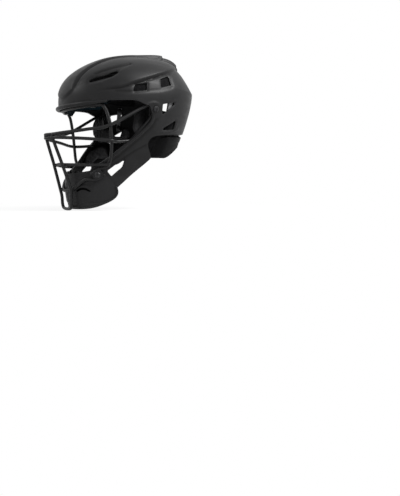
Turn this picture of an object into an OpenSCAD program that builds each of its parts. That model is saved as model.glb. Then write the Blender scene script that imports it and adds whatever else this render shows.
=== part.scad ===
// Catcher's mask: moulded shell with wire cage, chin guard, sliding rear plate and padded liner.
// Millimetres. +Z is up, the wearer faces -Y and the wearer's left is +X.
// The origin is inside the head space, on the mid-plane, at the height of the brim.

/* [Shell] */
// Greatest width of the shell, over the ears
shell_w = 210; // [190:1:230]
// Reach of the forehead in front of the origin
front_reach = 121; // [110:1:135]
// Reach of the back of the head behind the origin
rear_reach = 133; // [120:1:150]
// Height of the crown above the origin
crown_h = 90; // [80:1:105]
// Distance of the highest point of the crown behind the origin
crown_back = 61; // [45:1:70]
// Wall of the moulded shell
wall = 3.4; // [2.6:0.1:4.5]
// Radius of the rolled lip along the brim
lip_r = 3.6; // [3:0.1:4.4]
// How far the middle of the lip stands out as a small visor
lip_out = 2.4; // [1:0.2:3]
// Radius of the raised rim along the face opening
rim_r = 2.8; // [2:0.2:3.6]
// Corner radius of the vents
vent_r = 2; // [1:0.25:3]

/* [Crown panel] */
// Width of the raised panel along the crown
panel_w = 62; // [40:1:80]
// Height of the raised panel over the crown
panel_rise = 4.4; // [2:0.2:6]
// Where the raised panel ends, behind the origin
panel_end = 96; // [80:1:102]
// Height of the side step that runs back from the temples
step_rise = 2.8; // [0:0.2:5]

/* [Chin guard] */
// Half-width of the jaw at the chin
chin_half = 62; // [54:1:70]
// Reach of the chin in front of the origin
chin_reach = 112; // [104:1:118]
// Lowest edge of the chin guard below the origin
chin_drop = 185; // [176:1:196]
// Upper edge of the chin guard below the origin, at the middle
chin_top = 124; // [118:1:132]
// Wall of the chin guard
chin_wall = 3.2; // [2.6:0.1:4]

/* [Rear plate] */
// Wall of the rear plate
plate_wall = 3; // [2.4:0.1:4]
// Room between the shell and the rear plate
plate_gap = 3; // [2.5:0.1:4]
// Travel of the rear plate, for the fit
plate_travel = 12; // [6:1:14]
// Distance of each slide screw from the mid-plane
slide_x = 22; // [16:1:26]
// Diameter of the slide screws
slide_d = 4; // [3:0.5:5]

/* [Cage] */
// Diameter of the cage wire
wire_d = 5.6; // [4.5:0.1:6.5]
// Half-width between the two legs of the centre loop
leg_half = 21; // [16:1:26]
// Reach of the nose of the cage in front of the origin
nose_reach = 153; // [146:1:160]
// Diameter of the clip screws
screw_d = 5; // [4:0.5:6]
// Diameter of the clip screw heads
screw_head_d = 10; // [8:0.5:12]

/* [Liner] */
// Thickness of the liner pads at the middle
pad_t = 16; // [10:1:20]
// Width of the webbing that crosses the ear opening
strap_w = 9; // [6:0.5:12]

/* [Hidden] */

// Running room between pieces that touch on the real mask
fit = 0.3;
// Room behind a piece that lies against the hollow side of a wall
seat = 0.5;
// Height at which the shell is widest, and at which the back reaches furthest
wide_z = 10;
bulge_z = 27;
// Roundness of the plan sections
plan_power = 2.15;
half_w = shell_w / 2;
// The lowest level that the loft of the shell reaches
loft_low = -chin_drop - 4;
// Inner face of the shell, and the outer and inner faces of the chin guard and the rear plate,
// as distances outside the moulded surface
inner_o = -wall;
chin_gap = 0.9;
chin_o = chin_gap + chin_wall;
plate_o = inner_o - plate_gap;
plate_in_o = plate_o - plate_wall;
// Lean of the back wall, along which the rear plate slides
slide_tilt = 24;
slide_dir = [0, -sin(slide_tilt), -cos(slide_tilt)];
slide_axis = [0, cos(slide_tilt), -sin(slide_tilt)];
slide_z = -34;
// Depth of the flat under a slide screw head
flat_depth = 0.8;

function unit(v) = v / norm(v);
function flip(p) = [-p.x, p.y, p.z];
function ease(a, b, x) = let (t = max(0, min(1, (x - a) / (b - a)))) t * t * (3 - 2 * t);
function signed_pow(v, e) = sign(v) * pow(abs(v), e);
function rounded(u, e) = pow(max(0, 1 - pow(u, e)), 1 / e);

// Front, back and half-width of the plan section at height z, moved outwards by o
function front_y(z, o) = z >= 0
    ? crown_back - (crown_back + front_reach + o) * rounded(z / (crown_h + o), 2.31)
    : -o - front_reach + (front_reach - chin_reach) * ease(0, 120, -z)
      + 7 * pow(max(0, -z - 145) / 42, 2);
function rear_y(z, o) = z >= bulge_z
    ? let (s = (z - bulge_z) / (crown_h + o - bulge_z))
        crown_back + (rear_reach + o - crown_back) * (1 - 0.55 * s) * rounded(s, 7)
    : rear_reach + o - 30 * pow((bulge_z - z) / 100, 1.3);
function half_x(z, o) = z >= wide_z
    ? (half_w + o) * rounded((z - wide_z) / (crown_h + o - wide_z), 2.1)
    : o + chin_half + (half_w - chin_half) * pow(max(0, 1 - pow((wide_z - z) / 139, 1.9)), 1.35);

// A point of the moulded surface: a is the bearing from the front, towards the wearer's left
function skin(a, z, o = 0) = let (
    f = front_y(z, o),
    r = rear_y(z, o),
    c = (f + r) / 2 + 8 * min(1, (crown_h + o - z) / 30),
    k = -cos(a)
) [half_x(z, o) * signed_pow(sin(a), 2 / plan_power),
   c + (k < 0 ? c - f : r - c) * signed_pow(k, 2 / plan_power), z];

// Outward direction of the surface
function outward(a, z) = unit(cross(
    skin(a + 0.5, z) - skin(a - 0.5, z), skin(a, z + 0.5) - skin(a, z - 0.5)));
function over(a, z, o) = skin(a, z) + o * outward(a, z);

// The raised crown panel and the side step, as a height over the moulded surface
function panel_h(p) = panel_rise * ease(panel_w / 2 + 3, panel_w / 2 - 3, abs(p.x))
    * ease(panel_end + 6, panel_end, p.y) * ease(2, 9, p.z - 12 * pow(p.x / panel_w * 2, 2))
    * (0.5 + 0.4 * ease(-100, 40, p.y) + 0.55 * ease(30, panel_end, p.y));
function step_h(p) = step_rise * ease(-3, 3, p.z - 41 - 0.38 * p.y) * ease(-95, -30, p.y);
function raised(p) = p + (panel_h(p) + step_h(p)) * unit(p - [0, crown_back - 20, 0]);

function quad(a, b, c, d) = [[a, b, c], [a, c, d]];

// A closed loft of the moulded surface, from the crown to below the chin
module loft(o, around, low_rows, high_rows, relief = false) {
    top = crown_h + o;
    heights = [
        for (i = [0:low_rows]) loft_low + (wide_z - loft_low) * i / low_rows,
        for (i = [1:high_rows - 1]) wide_z + (top - wide_z) * sin(90 * i / high_rows)
    ];
    rows = len(heights);
    rings = [for (z = heights, j = [0:around - 1])
        let (p = skin(360 * j / around, z, o)) relief ? raised(p) : p];
    crown = [0, crown_back, top];
    points = concat(rings, [relief ? raised(crown) : crown, [0, 0, loft_low]]);
    faces = [
        for (i = [0:rows - 2], j = [0:around - 1]) let (n = (j + 1) % around)
            each quad(i * around + j, (i + 1) * around + j, (i + 1) * around + n, i * around + n),
        for (j = [0:around - 1]) let (n = (j + 1) % around)
            [(rows - 1) * around + j, rows * around, (rows - 1) * around + n],
        for (j = [0:around - 1]) let (n = (j + 1) % around) [j, n, rows * around + 1]
    ];
    polyhedron(points, faces);
}

// A wall between two grids of points, closed along its four edges
module wall_patch(outer, inner) {
    n = len(outer);
    m = len(outer[0]);
    k = n * m;
    points = [for (row = outer) each row, for (row = inner) each row];
    faces = [
        for (i = [0:n - 2], j = [0:m - 2])
            each quad(i * m + j, (i + 1) * m + j, (i + 1) * m + j + 1, i * m + j + 1),
        for (i = [0:n - 2], j = [0:m - 2])
            each quad(k + i * m + j, k + i * m + j + 1, k + (i + 1) * m + j + 1, k + (i + 1) * m + j),
        for (j = [0:m - 2]) each quad(j, j + 1, k + j + 1, k + j),
        for (j = [0:m - 2]) let (a = (n - 1) * m + j) each quad(a, k + a, k + a + 1, a + 1),
        for (i = [0:n - 2]) each quad(i * m, k + i * m, k + (i + 1) * m, (i + 1) * m),
        for (i = [0:n - 2]) let (a = i * m + m - 1) each quad(a, a + m, k + a + m, k + a)
    ];
    polyhedron(points, faces);
}

// A smooth curve through hand-placed points, and a wire swept along a curve
function curve(p, steps) = [
    for (i = [0:len(p) - 2], s = [0:steps - 1]) let (
        t = s / steps,
        p0 = p[max(0, i - 1)],
        p1 = p[i],
        p2 = p[i + 1],
        p3 = p[min(len(p) - 1, i + 2)]
    ) (2 * p1 + (p2 - p0) * t + (2 * p0 - 5 * p1 + 4 * p2 - p3) * t * t
        + (3 * p1 - p0 - 3 * p2 + p3) * t * t * t) / 2,
    p[len(p) - 1]
];
function heading(p, i) = unit(p[min(i + 1, len(p) - 1)] - p[max(i - 1, 0)]);
function square_to(v, t) = unit(v - (v * t) * t);
function mirrored(half) = concat(half, [for (i = [len(half) - 2:-1:0]) flip(half[i])]);

// A round bead along a path, with a radius at each point
module bead(path, radii, sides) {
    count = len(path);
    sideways = [for (i = 0, n = square_to([0.3, 0.2, 1], heading(path, 0)); i < count;
        i = i + 1, n = i < count ? square_to(n, heading(path, i)) : n) n];
    points = [for (i = [0:count - 1], j = [0:sides - 1]) let (
        n = sideways[i],
        b = cross(heading(path, i), n),
        a = 360 * (j + 0.5) / sides
    ) path[i] + radii[i] * (cos(a) * n + sin(a) * b)];
    faces = [
        for (i = [0:count - 2], j = [0:sides - 1]) let (m = (j + 1) % sides)
            each quad(i * sides + j, (i + 1) * sides + j, (i + 1) * sides + m, i * sides + m),
        for (j = [1:sides - 2]) [0, j, j + 1],
        for (j = [1:sides - 2]) let (e = (count - 1) * sides) [e, e + j + 1, e + j]
    ];
    polyhedron(points, faces);
}

module wire(path) { bead(path, [for (p = path) wire_d / 2], 8); }

// Puts local z along a direction at a point
module aim(p, n) {
    translate(p) rotate([0, acos(n.z), atan2(n.y, n.x)]) children();
}

module both_sides() {
    children();
    mirror([1, 0, 0]) children();
}

// A prism across the mask from a side-view outline of [y, z] points
module side_prism(outline) {
    rotate([90, 0, 90]) translate([0, 0, -half_w - 20]) linear_extrude(shell_w + 40)
        offset(r = -6, $fn = 16) offset(r = 12, $fn = 16) offset(r = -6, $fn = 16) polygon(outline);
}

// A rounded cut through one side wall, from the corners of its side view
module side_cut(corners) {
    for (side = [-1, 1]) {
        hull() for (c = corners) {
            translate([side * (half_w - 35), c[0], c[1]]) rotate([0, 90, 0])
                cylinder(r = vent_r, h = 140, center = true, $fn = 12);
        }
    }
}

// Side views of the openings of the shell
face_outline = [[-300, -9], [-125, -9], [-85, -3], [-29, 0], [-16, -6], [-5, -8], [2, -24], [-2, -36],
    [-24, -58], [-40, -72], [-67, -98], [-80, -108], [-92, -116], [-92, -138], [-66, -158], [-66, -300],
    [-300, -300]];
under_outline = [[-70, -168], [12, -98], [13, -94], [-1, -72], [4, -62], [14, -57], [80, -50], [110, -46],
    [300, -46], [300, -300], [-70, -300]];
vents = [
    [[-94, 30], [-87, 35], [-55, 46], [-66, 39]],
    [[-33, 16], [-29, 24], [-10, 29], [-12, 19]],
    [[22, 39], [39, 46], [40, 33], [20, 27]],
    [[23, -18], [23, -5], [46, 0]],
    [[29, -45], [54, -31], [52, -42]],
    [[-62, -120], [-39, -100], [-42, -112], [-57, -126]]
];
rear_vent = [[31, 6], [34, 26], [57, 28], [53, 12]];

// Where a slide screw meets the back wall, and the flat that its head sits on
function rear_bearing(x, z) = 180 - asin(pow(x / half_x(z, 0), plan_power / 2));
function slide_point(side, o) = skin(side * rear_bearing(slide_x, slide_z), slide_z, o);
module slide_hole() {
    for (side = [-1, 1]) aim(slide_point(side, 0), slide_axis) {
        translate([0, 0, -14]) cylinder(d = slide_d + 2 * fit, h = 30, $fn = 24);
        translate([0, 0, -flat_depth]) cylinder(d = screw_head_d + 1, h = 10, $fn = 24);
    }
}

module front_shell() {
    color("#2b2c2e") difference() {
        union() {
            difference() {
                loft(0, 60, 12, 13, true);
                side_prism(face_outline);
            }
            brim_lip();
            face_rim();
        }
        loft(inner_o, 44, 10, 10);
        side_prism(under_outline);
        for (v = vents) side_cut(v);
        for (side = [-1, 1]) {
            hull() for (c = rear_vent) {
                translate([side * c[0], rear_reach, c[1]]) rotate([90, 0, 0])
                    cylinder(r = vent_r, h = 90, center = true, $fn = 12);
            }
        }
        slide_hole();
        clip_holes();
        rivet_holes();
    }
}

// Rolled lip along the brim: a small visor in front, thinner towards the temples
lip_reach = 50;
lip_count = 12;
lip_bearings = [for (i = [0:lip_count]) -lip_reach + 2 * lip_reach * i / lip_count];
module brim_lip() {
    bead([for (a = lip_bearings)
            skin(a, -9 + 5 * pow(a / lip_reach, 2), lip_out * ease(lip_reach, 0, abs(a)) - 0.4)],
        [for (a = lip_bearings) lip_r * (1 - 0.45 * ease(30, lip_reach, abs(a)))], 8);
}

// A point of the moulded surface from its side view
function side_point(y, z) = let (
    f = front_y(z, 0),
    r = rear_y(z, 0),
    c = (f + r) / 2 + 8 * min(1, (crown_h - z) / 30)
) [half_x(z, 0) * rounded(y < c ? (c - y) / (c - f) : (y - c) / (r - c), plan_power), y, z];

// Raised rim along the rear and lower edge of the face opening
rim_sunk = 1;
rim_path = curve([[4.4, -22], [2.6, -32], [-4, -41.5], [-22.2, -59.8], [-38.3, -73.8], [-65.5, -99.8],
    [-77, -109]], 2);
module face_rim() {
    last = len(rim_path) - 1;
    path = [for (p = rim_path) side_point(p[0], p[1]) - [rim_sunk, 0, 0]];
    both_sides() bead(path, [for (i = [0:last]) rim_r * (0.5 + 0.5 * ease(0, 3, min(i, last - i)))], 8);
}

// Chin guard: the bearing of its side edge, from the lower edge at 0 to the upper edge at 1
chin_wide = 71;
chin_wide_v = 0.35;
function chin_side(v) = v < chin_wide_v
    ? chin_wide - 23 * pow((chin_wide_v - v) / chin_wide_v, 2.2)
    : chin_wide - 15 * (1 - cos(180 * (v - chin_wide_v) / (1 - chin_wide_v))) / 2;
function chin_low(u) = -chin_drop + 5 * pow(u, 4);
function chin_high(u) = -chin_top + 9 * pow(u, 2);
function chin_z(u, v) = chin_low(u) + (chin_high(u) - chin_low(u)) * v;
chin_rows = 9;
function chin_grid(o) = [for (i = [0:chin_rows]) [for (j = [0:18])
    let (v = pow(i / chin_rows, 1.3), u = j / 9 - 1) skin(u * chin_side(v), chin_z(u, v), o)]];

// Arched vent on each side of the chin, as bearings and heights
chin_arch = [[24, -154.5], [28.5, -151.5], [33, -150.5], [38, -151.5], [42.5, -154.5]];

module chin_guard() {
    color("#2a2b2d") difference() {
        union() {
            wall_patch(chin_grid(chin_o), chin_grid(chin_gap));
            chin_lip();
        }
        for (side = [-1, 1]) {
            for (i = [0:len(chin_arch) - 2]) {
                hull() for (c = [chin_arch[i], chin_arch[i + 1]]) {
                    aim(skin(side * c[0], c[1], 0), outward(side * c[0], c[1]))
                        cylinder(r = vent_r, h = 24, center = true, $fn = 10);
                }
            }
        }
        clip_holes();
        rivet_holes();
    }
}

// Rolled edge of the chin guard: along its lower edge and up both sides
chin_edge_r = 2.1;
module chin_lip() {
    side = [for (v = [0.5, 0.42, 0.34, 0.26, 0.18, 0.11, 0.05]) [1, v]];
    half = concat(side, [for (u = [1, 0.85, 0.65, 0.4, 0.2, 0]) [u, 0]]);
    path = mirrored([for (e = half) skin(e[0] * chin_side(e[1]), chin_z(e[0], e[1]), chin_o - 0.6)]);
    bead(path, [for (p = path) chin_edge_r], 6);
}

// Rear plate: bearings run round the back of the head, with a tongue inside the shell
plate_from = 95;
plate_from_low = 97;
function plate_low(a) = -71 - 22 * ease(30, 64, abs(a - 180));
function plate_high(a) = -52 + 36 * ease(30, 22, abs(a - 180)) - 7 * ease(74, 83, abs(a - 180));
// Just below the shell's edge the plate flares out, in line with the shell's back, and its wings are
// drawn in to pass inside the jaw arms
plate_flare = -plate_o - 0.8;
wing_in = 6;
function flare_top(a) = -50 - 7 * ease(25, 85, abs(a - 180));
function flared(a, z) = plate_flare * ease(flare_top(a), flare_top(a) - 8, z) * ease(78, 68, abs(a - 180))
    - wing_in * ease(66, 81, abs(a - 180));
plate_rows = 5;
plate_cols = 26;
function plate_grid(o) = [for (i = [0:plate_rows]) [for (j = [0:plate_cols]) let (
    start = plate_from_low + (plate_from - plate_from_low) * i / plate_rows,
    a = start + (360 - 2 * start) * j / plate_cols,
    z = plate_low(a) + (plate_high(a) - plate_low(a)) * i / plate_rows
) skin(a, z, o + flared(a, z))]];

// How far the plate's grid stands out between two of its rows
function plate_level(a, z) = let (low = plate_low(a), step = (plate_high(a) - low) / plate_rows,
    base = low + step * floor((z - low) / step), k = (z - base) / step
) flared(a, base) * (1 - k) + flared(a, base + step) * k;

module rear_plate() {
    color("#232426") difference() {
        union() {
            wall_patch(plate_grid(plate_o), plate_grid(plate_in_o));
            plate_lip();
        }
        for (side = [-1, 1]) {
            hull() for (s = [0.6, -plate_travel - 0.6]) {
                aim(slide_point(side, 0) + s * slide_dir, slide_axis)
                    cylinder(d = slide_d + 4 * fit, h = 40, center = true, $fn = 16);
            }
        }
    }
}

module plate_lip() {
    steps = 14;
    path = [for (j = [0:steps]) let (a = plate_from_low + (360 - 2 * plate_from_low) * j / steps)
        skin(a, plate_low(a), plate_o - plate_wall / 2 + flared(a, plate_low(a)))];
    for (i = [0:steps - 1]) {
        hull() {
            translate(path[i]) sphere(d = plate_wall + 1, $fn = 6);
            translate(path[i + 1]) sphere(d = plate_wall + 1, $fn = 6);
        }
    }
}

// Levels of the clip stacks over the moulded surface
clip_t = 3;
temple_a = 89;
temple_z = -13;
temple_wire_o = inner_o - seat - wire_d / 2;
temple_cap_o = temple_wire_o - wire_d / 2 - 2 * fit;
jaw_a = 48;
jaw_z = -124;
saddle_o = chin_o + 3 * fit;
saddle_t = 3;
jaw_wire_o = saddle_o + saddle_t + fit + wire_d / 2;
jaw_cap_o = jaw_wire_o + wire_d / 2 + fit;
// Directions on the jaw clip: out, along the wires, and across them
jaw_n = outward(jaw_a, jaw_z);
jaw_w = square_to([-18, -17, -13], jaw_n);
jaw_b = cross(jaw_w, jaw_n).z > 0 ? cross(jaw_w, jaw_n) : cross(jaw_n, jaw_w);
jaw_beside = screw_d / 2 + fit + wire_d / 2;
function jaw_spot(across, along) = over(jaw_a, jaw_z, jaw_wire_o) + across * jaw_b + along * jaw_w;

// The brow wire runs along the inside of the brim
brow_o = inner_o - seat - wire_d / 2 - 0.4;
brow_a = 36;
brow_block = wire_d + 1.7;

// Cage wires, from the wearer's left end to the middle
nose = -nose_reach;
brow_half = [jaw_spot(jaw_beside, 10), jaw_spot(jaw_beside, 0), jaw_spot(jaw_beside, -9),
    [chin_half + 4.2, -68.4, -109], [half_w - 30, -67, -92], [half_w - 26.8, -67.4, -69],
    [half_w - 25.8, -69.2, -44], [half_w - 29, -74.5, -20], [half_w - 32, -79.5, -11],
    skin(45, -9, brow_o), skin(brow_a, -9.5, brow_o), skin(26, -11, brow_o),
    skin(13, -12, brow_o), skin(0, -12.5, brow_o)];
upper_end = 94;
upper_half = [over(upper_end, -4, temple_wire_o), over(87, -5.5, temple_wire_o), [half_w - 9.8, -15, -11],
    [half_w - 21, -73.4, -43.6], [60, -104, -50.5], [32, -135, -55.5], [14, nose + 6, -57.5], [0, nose, -58]];
lower_half = [over(92, -19.5, temple_wire_o), over(88.5, -25, temple_wire_o), over(86, -36, temple_wire_o),
    over(80, -55, temple_wire_o), over(75.5, -67.5, temple_wire_o), over(72.5, -70, temple_wire_o),
    [half_w - 25.5, -60, -70], [half_w - 20.1, -73.6, -69], [60, -103, -66], [32, -135, -64],
    [14, nose + 6, -57.5 - wire_d - fit], [0, nose, -58 - wire_d - fit]];
leg_top = -57.5 - 2 * wire_d - 2 * fit + wire_d / 2 - 3;
mouth_half = [[chin_half + 10.6, -69.6, -109.6], [chin_half - 0.5, -84.6, -110], [50, -99, -110],
    [leg_half - 2.4, -126.2, -109], [0, -130, -108]];
chin_bar_half = [jaw_spot(-jaw_beside, -9), jaw_spot(-jaw_beside, 0), jaw_spot(-jaw_beside, 9),
    [42.5, -101.5, -135], [leg_half + 2.5, -114.2, -150], [0, -chin_reach - chin_o - wire_d / 2 - 1.2, -154]];
loop_half = [[14, nose + 7, leg_top], [15.5, nose + 11, -79], [leg_half - 2.4, -132.4, -109],
    [leg_half + 2.5, -120.6, -150], [leg_half, -118.5, -164], [leg_half - 1, -118, -178],
    [leg_half - 6, -117.5, -185], [0, -117.5, -186.5]];

module brow_wire() { color("#36373a") wire(curve(mirrored(brow_half), 2)); }
module upper_eye_bar() { color("#36373a") wire(curve(mirrored(upper_half), 3)); }
module lower_eye_bar() { color("#36373a") wire(curve(mirrored(lower_half), 2)); }
module mouth_bar() { color("#36373a") wire(curve(mirrored(mouth_half), 3)); }
module chin_bar() { color("#36373a") wire(curve(mirrored(chin_bar_half), 3)); }
module centre_loop() { color("#36373a") wire(curve(mirrored(loop_half), 3)); }

// Clips that hold the cage: a clamp bar inside each temple, a saddle and cap at each jaw,
// and a bonded block under the brim on each side
module temple_clip() {
    aim(over(temple_a, temple_z, temple_cap_o - clip_t), outward(temple_a, temple_z)) difference() {
        union() {
            translate([-9, -6, 0]) cube([18, 12, clip_t]);
            translate([-9, 0, 0]) cylinder(d = 12, h = clip_t, $fn = 32);
            translate([9, 0, 0]) cylinder(d = 12, h = clip_t, $fn = 32);
        }
        translate([0, 0, -1]) cylinder(d = screw_d + fit, h = clip_t + 2, $fn = 24);
    }
}

module jaw_clip() {
    aim(over(jaw_a, jaw_z, 0), jaw_n) {
        translate([0, 0, saddle_o]) clip_disc(15, saddle_t);
        translate([0, 0, jaw_cap_o]) clip_disc(18, clip_t);
    }
}

module clip_disc(d, t) {
    difference() {
        cylinder(d = d, h = t, $fn = 40);
        translate([0, 0, -1]) cylinder(d = screw_d + fit, h = t + 2, $fn = 24);
    }
}

module temple_clip_left() { color("#1d1d1f") temple_clip(); }
module temple_clip_right() { color("#1d1d1f") mirror([1, 0, 0]) temple_clip(); }
module jaw_clip_left() { color("#1d1d1f") jaw_clip(); }
module jaw_clip_right() { color("#1d1d1f") mirror([1, 0, 0]) jaw_clip(); }

module brow_clips() {
    color("#1d1d1f") both_sides() aim(skin(brow_a, -9.5, brow_o), outward(brow_a, -2)) difference() {
        translate([-11, -5, -wire_d / 2 - 2]) cube([15, 10, brow_block]);
        rotate([90, 0, 0]) cylinder(d = wire_d + 4 * fit, h = 30, center = true, $fn = 24);
    }
}

// Screws and nuts of the four bolted clips
module bolt(grip) {
    difference() {
        union() {
            translate([0, 0, fit / 2]) cylinder(d = screw_head_d, h = 2, $fn = 40);
            translate([0, 0, fit / 2 + 2])
                cylinder(d1 = screw_head_d, d2 = screw_head_d - 3, h = 1.2, $fn = 40);
            translate([0, 0, -grip]) cylinder(d = screw_d, h = grip + 1, $fn = 24);
        }
        translate([-screw_head_d, -0.7, fit / 2 + 1.8]) cube([2 * screw_head_d, 1.4, 4]);
    }
}

module nut(d, t) {
    difference() {
        cylinder(d = 2 * d, h = t, $fn = 6);
        translate([0, 0, -1]) cylinder(d = d + 0.2, h = t + 2, $fn = 24);
    }
}

nut_t = 3;
temple_grip = fit - temple_cap_o + clip_t + nut_t + 1;
jaw_grip = jaw_cap_o + clip_t + wall + seat + nut_t + 1;

module clip_holes() {
    both_sides() {
        aim(over(temple_a, temple_z, 0), outward(temple_a, temple_z))
            cylinder(d = screw_d + fit, h = 30, center = true, $fn = 24);
        aim(over(jaw_a, jaw_z, 0), jaw_n) cylinder(d = screw_d + fit, h = 30, center = true, $fn = 24);
    }
}

module clip_screws() {
    color("#55565a") both_sides() {
        aim(over(temple_a, temple_z, 0), outward(temple_a, temple_z)) bolt(temple_grip);
        aim(over(jaw_a, jaw_z, jaw_cap_o + clip_t), jaw_n) bolt(jaw_grip);
    }
}

module clip_nuts() {
    color("#77787c") both_sides() {
        aim(over(temple_a, temple_z, temple_cap_o - clip_t - fit - nut_t), outward(temple_a, temple_z))
            nut(screw_d, nut_t);
        aim(over(jaw_a, jaw_z, inner_o - seat - nut_t), jaw_n) nut(screw_d, nut_t);
    }
}

// Rivets that join the chin guard to the jaw arms
rivet_d = 4;
chin_rivet_spots = [[60, -141], [57, -152]];
blind = 1.2;
module rivet(out, in) {
    translate([0, 0, in]) cylinder(d = rivet_d, h = out - in, $fn = 24);
    translate([0, 0, in - 1]) cylinder(d = 2 * rivet_d, h = 1, $fn = 32);
    translate([0, 0, in - 2]) cylinder(d1 = rivet_d, d2 = 2 * rivet_d, h = 1, $fn = 32);
}

// Blind holes: a rivet shank stops short of the outer face
module rivet_holes() {
    both_sides() {
        for (r = chin_rivet_spots) aim(over(r[0], r[1], chin_o - blind + fit - 24), outward(r[0], r[1]))
            cylinder(d = rivet_d + fit, h = 24, $fn = 20);
        for (z = strap_z) aim(over(strap_a, z, fit - blind - 24), outward(strap_a, z))
            cylinder(d = rivet_d + fit, h = 24, $fn = 20);
    }
}

module chin_rivets() {
    color("#3a3b3e") both_sides() for (r = chin_rivet_spots)
        aim(over(r[0], r[1], 0), outward(r[0], r[1])) rivet(chin_o - blind, inner_o - seat);
}

// Slide screws and nuts that hold the rear plate: fixed to the shell, free in the slots
module slide_screws() {
    color("#55565a") for (side = [-1, 1]) aim(slide_point(side, 0), slide_axis) {
        translate([0, 0, -flat_depth + fit / 2]) cylinder(d = screw_head_d, h = 2.4, $fn = 40);
        translate([0, 0, slide_nut_o - slide_nut_t - 1])
            cylinder(d = slide_d, h = -slide_nut_o + slide_nut_t + 1 - flat_depth + fit, $fn = 24);
    }
}

slide_nut_o = plate_in_o - 2.2;
slide_nut_t = 3;
module slide_nuts() {
    color("#77787c") for (side = [-1, 1]) aim(slide_point(side, 0), slide_axis)
        translate([0, 0, slide_nut_o - slide_nut_t]) nut(slide_d, slide_nut_t);
}

// A liner pad: its outer face follows the wall, its inner face is crowned and drawn in at the edges
function crowned(u, v) = 0.3 + 0.7 * pow((1 - pow(abs(2 * u - 1), 3)) * (1 - pow(abs(2 * v - 1), 3)), 0.5);
module pad(spots, o, t) {
    wall_patch(
        [for (row = spots) [for (s = row) skin(s[0], s[1], o - s[4])]],
        [for (row = spots) [for (s = row) skin(s[0], s[1], o - s[4] - t * s[5] * crowned(s[2], s[3]))]]);
}

// Grids of pad spots: bearing, height, place across, place up, how far the pad stands off the wall,
// and its share of the thickness
function spots(a0, a1, z0, z1, cols, rows) = [for (i = [0:rows]) [for (j = [0:cols])
    let (u = j / cols, v = i / rows) [a0 + (a1 - a0) * u, z0 + (z1 - z0) * v, u, v, 0, 1]]];
// The brow pad hangs below the brim, behind the brow wire and its clips
brow_hang = wire_d + 3.8;
function brow_spots(cols, rows) = [for (i = [0:rows]) [for (j = [0:cols]) let (u = j / cols, v = i / rows,
    a = -80 + 160 * u, low = -15 + 18 * ease(38, 48, abs(a)) + 5 * ease(60, 72, abs(a)),
    z = low + (28 - low) * v, hang = ease(9, 3, z))
    [a, z, u, v, brow_hang * hang, 1 - 0.45 * hang]]];
// The crown pad is a horseshoe that comes down behind the side vents
function crown_spots(cols, rows) = [for (i = [0:rows]) [for (j = [0:cols]) let (u = j / cols, v = i / rows,
    a = -118 + 236 * u, low = crown_h - 50 - 16 * ease(70, 95, abs(a)),
    high = crown_h - 16 - 12 * ease(60, 95, abs(a))) [a, low + (high - low) * v, u, v, 0, 1]]];
function chin_spots(cols, rows) = [for (i = [0:rows]) [for (j = [0:cols]) let (u = j / cols, v = i / rows,
    low = 13 - chin_drop, z = low + (-chin_top - 10 - low) * v)
    [(2 * u - 1) * (44 - 12 * ease(0.35, 0.8, v)), z, u, v, 0, 1]]];
function jaw_spots(cols, rows) = [for (i = [0:rows]) [for (j = [0:cols]) let (u = j / cols, v = i / rows,
    end = sqrt(max(0.08, 1 - pow(max(0, 0.3 - u) / 0.3, 2))), tall = 22 + 8 * ease(0.5, 1, u))
    [62 + 28 * u, -104 + 24 * min(1, u / 0.57) + 5 * ease(0.57, 1, u) + tall * (v - 0.5) * end, u, v, 0, 1]]];
// The side pad shows in the face opening, in front of the ear, and stands clear of the lower eye bar;
// below the ear strap a narrow neck joins its rear lobe, which lies behind the low rear vent
function side_spots(cols, rows) = [for (i = [0:rows]) [for (j = [0:cols]) let (u = j / cols, v = i / rows,
    a = 75 + 42 * u, low = -58 + 6 * ease(90, 96, a) + 2 * ease(99, 105, a),
    high = -31 + 22 * ease(86, 81, a) - 15 * ease(96, 99.5, a) + 19 * ease(106, 110, a),
    end = sqrt(max(0.2, 1 - pow(max(0, 0.16 - u) / 0.16, 2) - pow(max(0, u - 0.86) / 0.14, 2))),
    z = (low + high) / 2 + (high - low) * (v - 0.5) * end)
    [a, z, u, v, (wire_d + 2 * fit + 3 * ease(-34, -22, z)) * ease(96, 92, a), 1]]];

pad_seat = 0.9;
pad_o = inner_o - pad_seat;
module brow_pad() { color("#1d3a3a") pad(brow_spots(22, 6), pad_o, pad_t); }
module crown_pad() { color("#1c1c1e") pad(crown_spots(24, 6), pad_o, pad_t); }
module rear_crown_pad() { color("#1c1c1e") pad(spots(163, 197, 2, crown_h - 30, 7, 7), pad_o - 1.6, pad_t); }
module side_pad_left() { color("#1c1c1e") pad(side_spots(14, 6), pad_o, pad_t * 0.75); }
module side_pad_right() { color("#1c1c1e") mirror([1, 0, 0]) side_pad_left(); }
module jaw_pad_left() { color("#1c1c1e") pad(jaw_spots(10, 6), pad_o, pad_t * 0.75); }
module jaw_pad_right() { color("#1c1c1e") mirror([1, 0, 0]) jaw_pad_left(); }
module chin_pad() { color("#1c1c1e") pad(chin_spots(14, 6), -seat, pad_t); }
nape_o = plate_in_o - pad_seat - 0.5;
// The nape pad follows the plate out
function nape_spots(cols, rows) = [for (s = spots(132, 228, -76, -56, cols, rows))
    [for (p = s) [p[0], p[1], p[2], p[3], -plate_level(p[0], p[1]), 1]]];
module nape_pad() { color("#1c1c1e") pad(nape_spots(12, 5), nape_o, pad_t * 0.7); }

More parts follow.
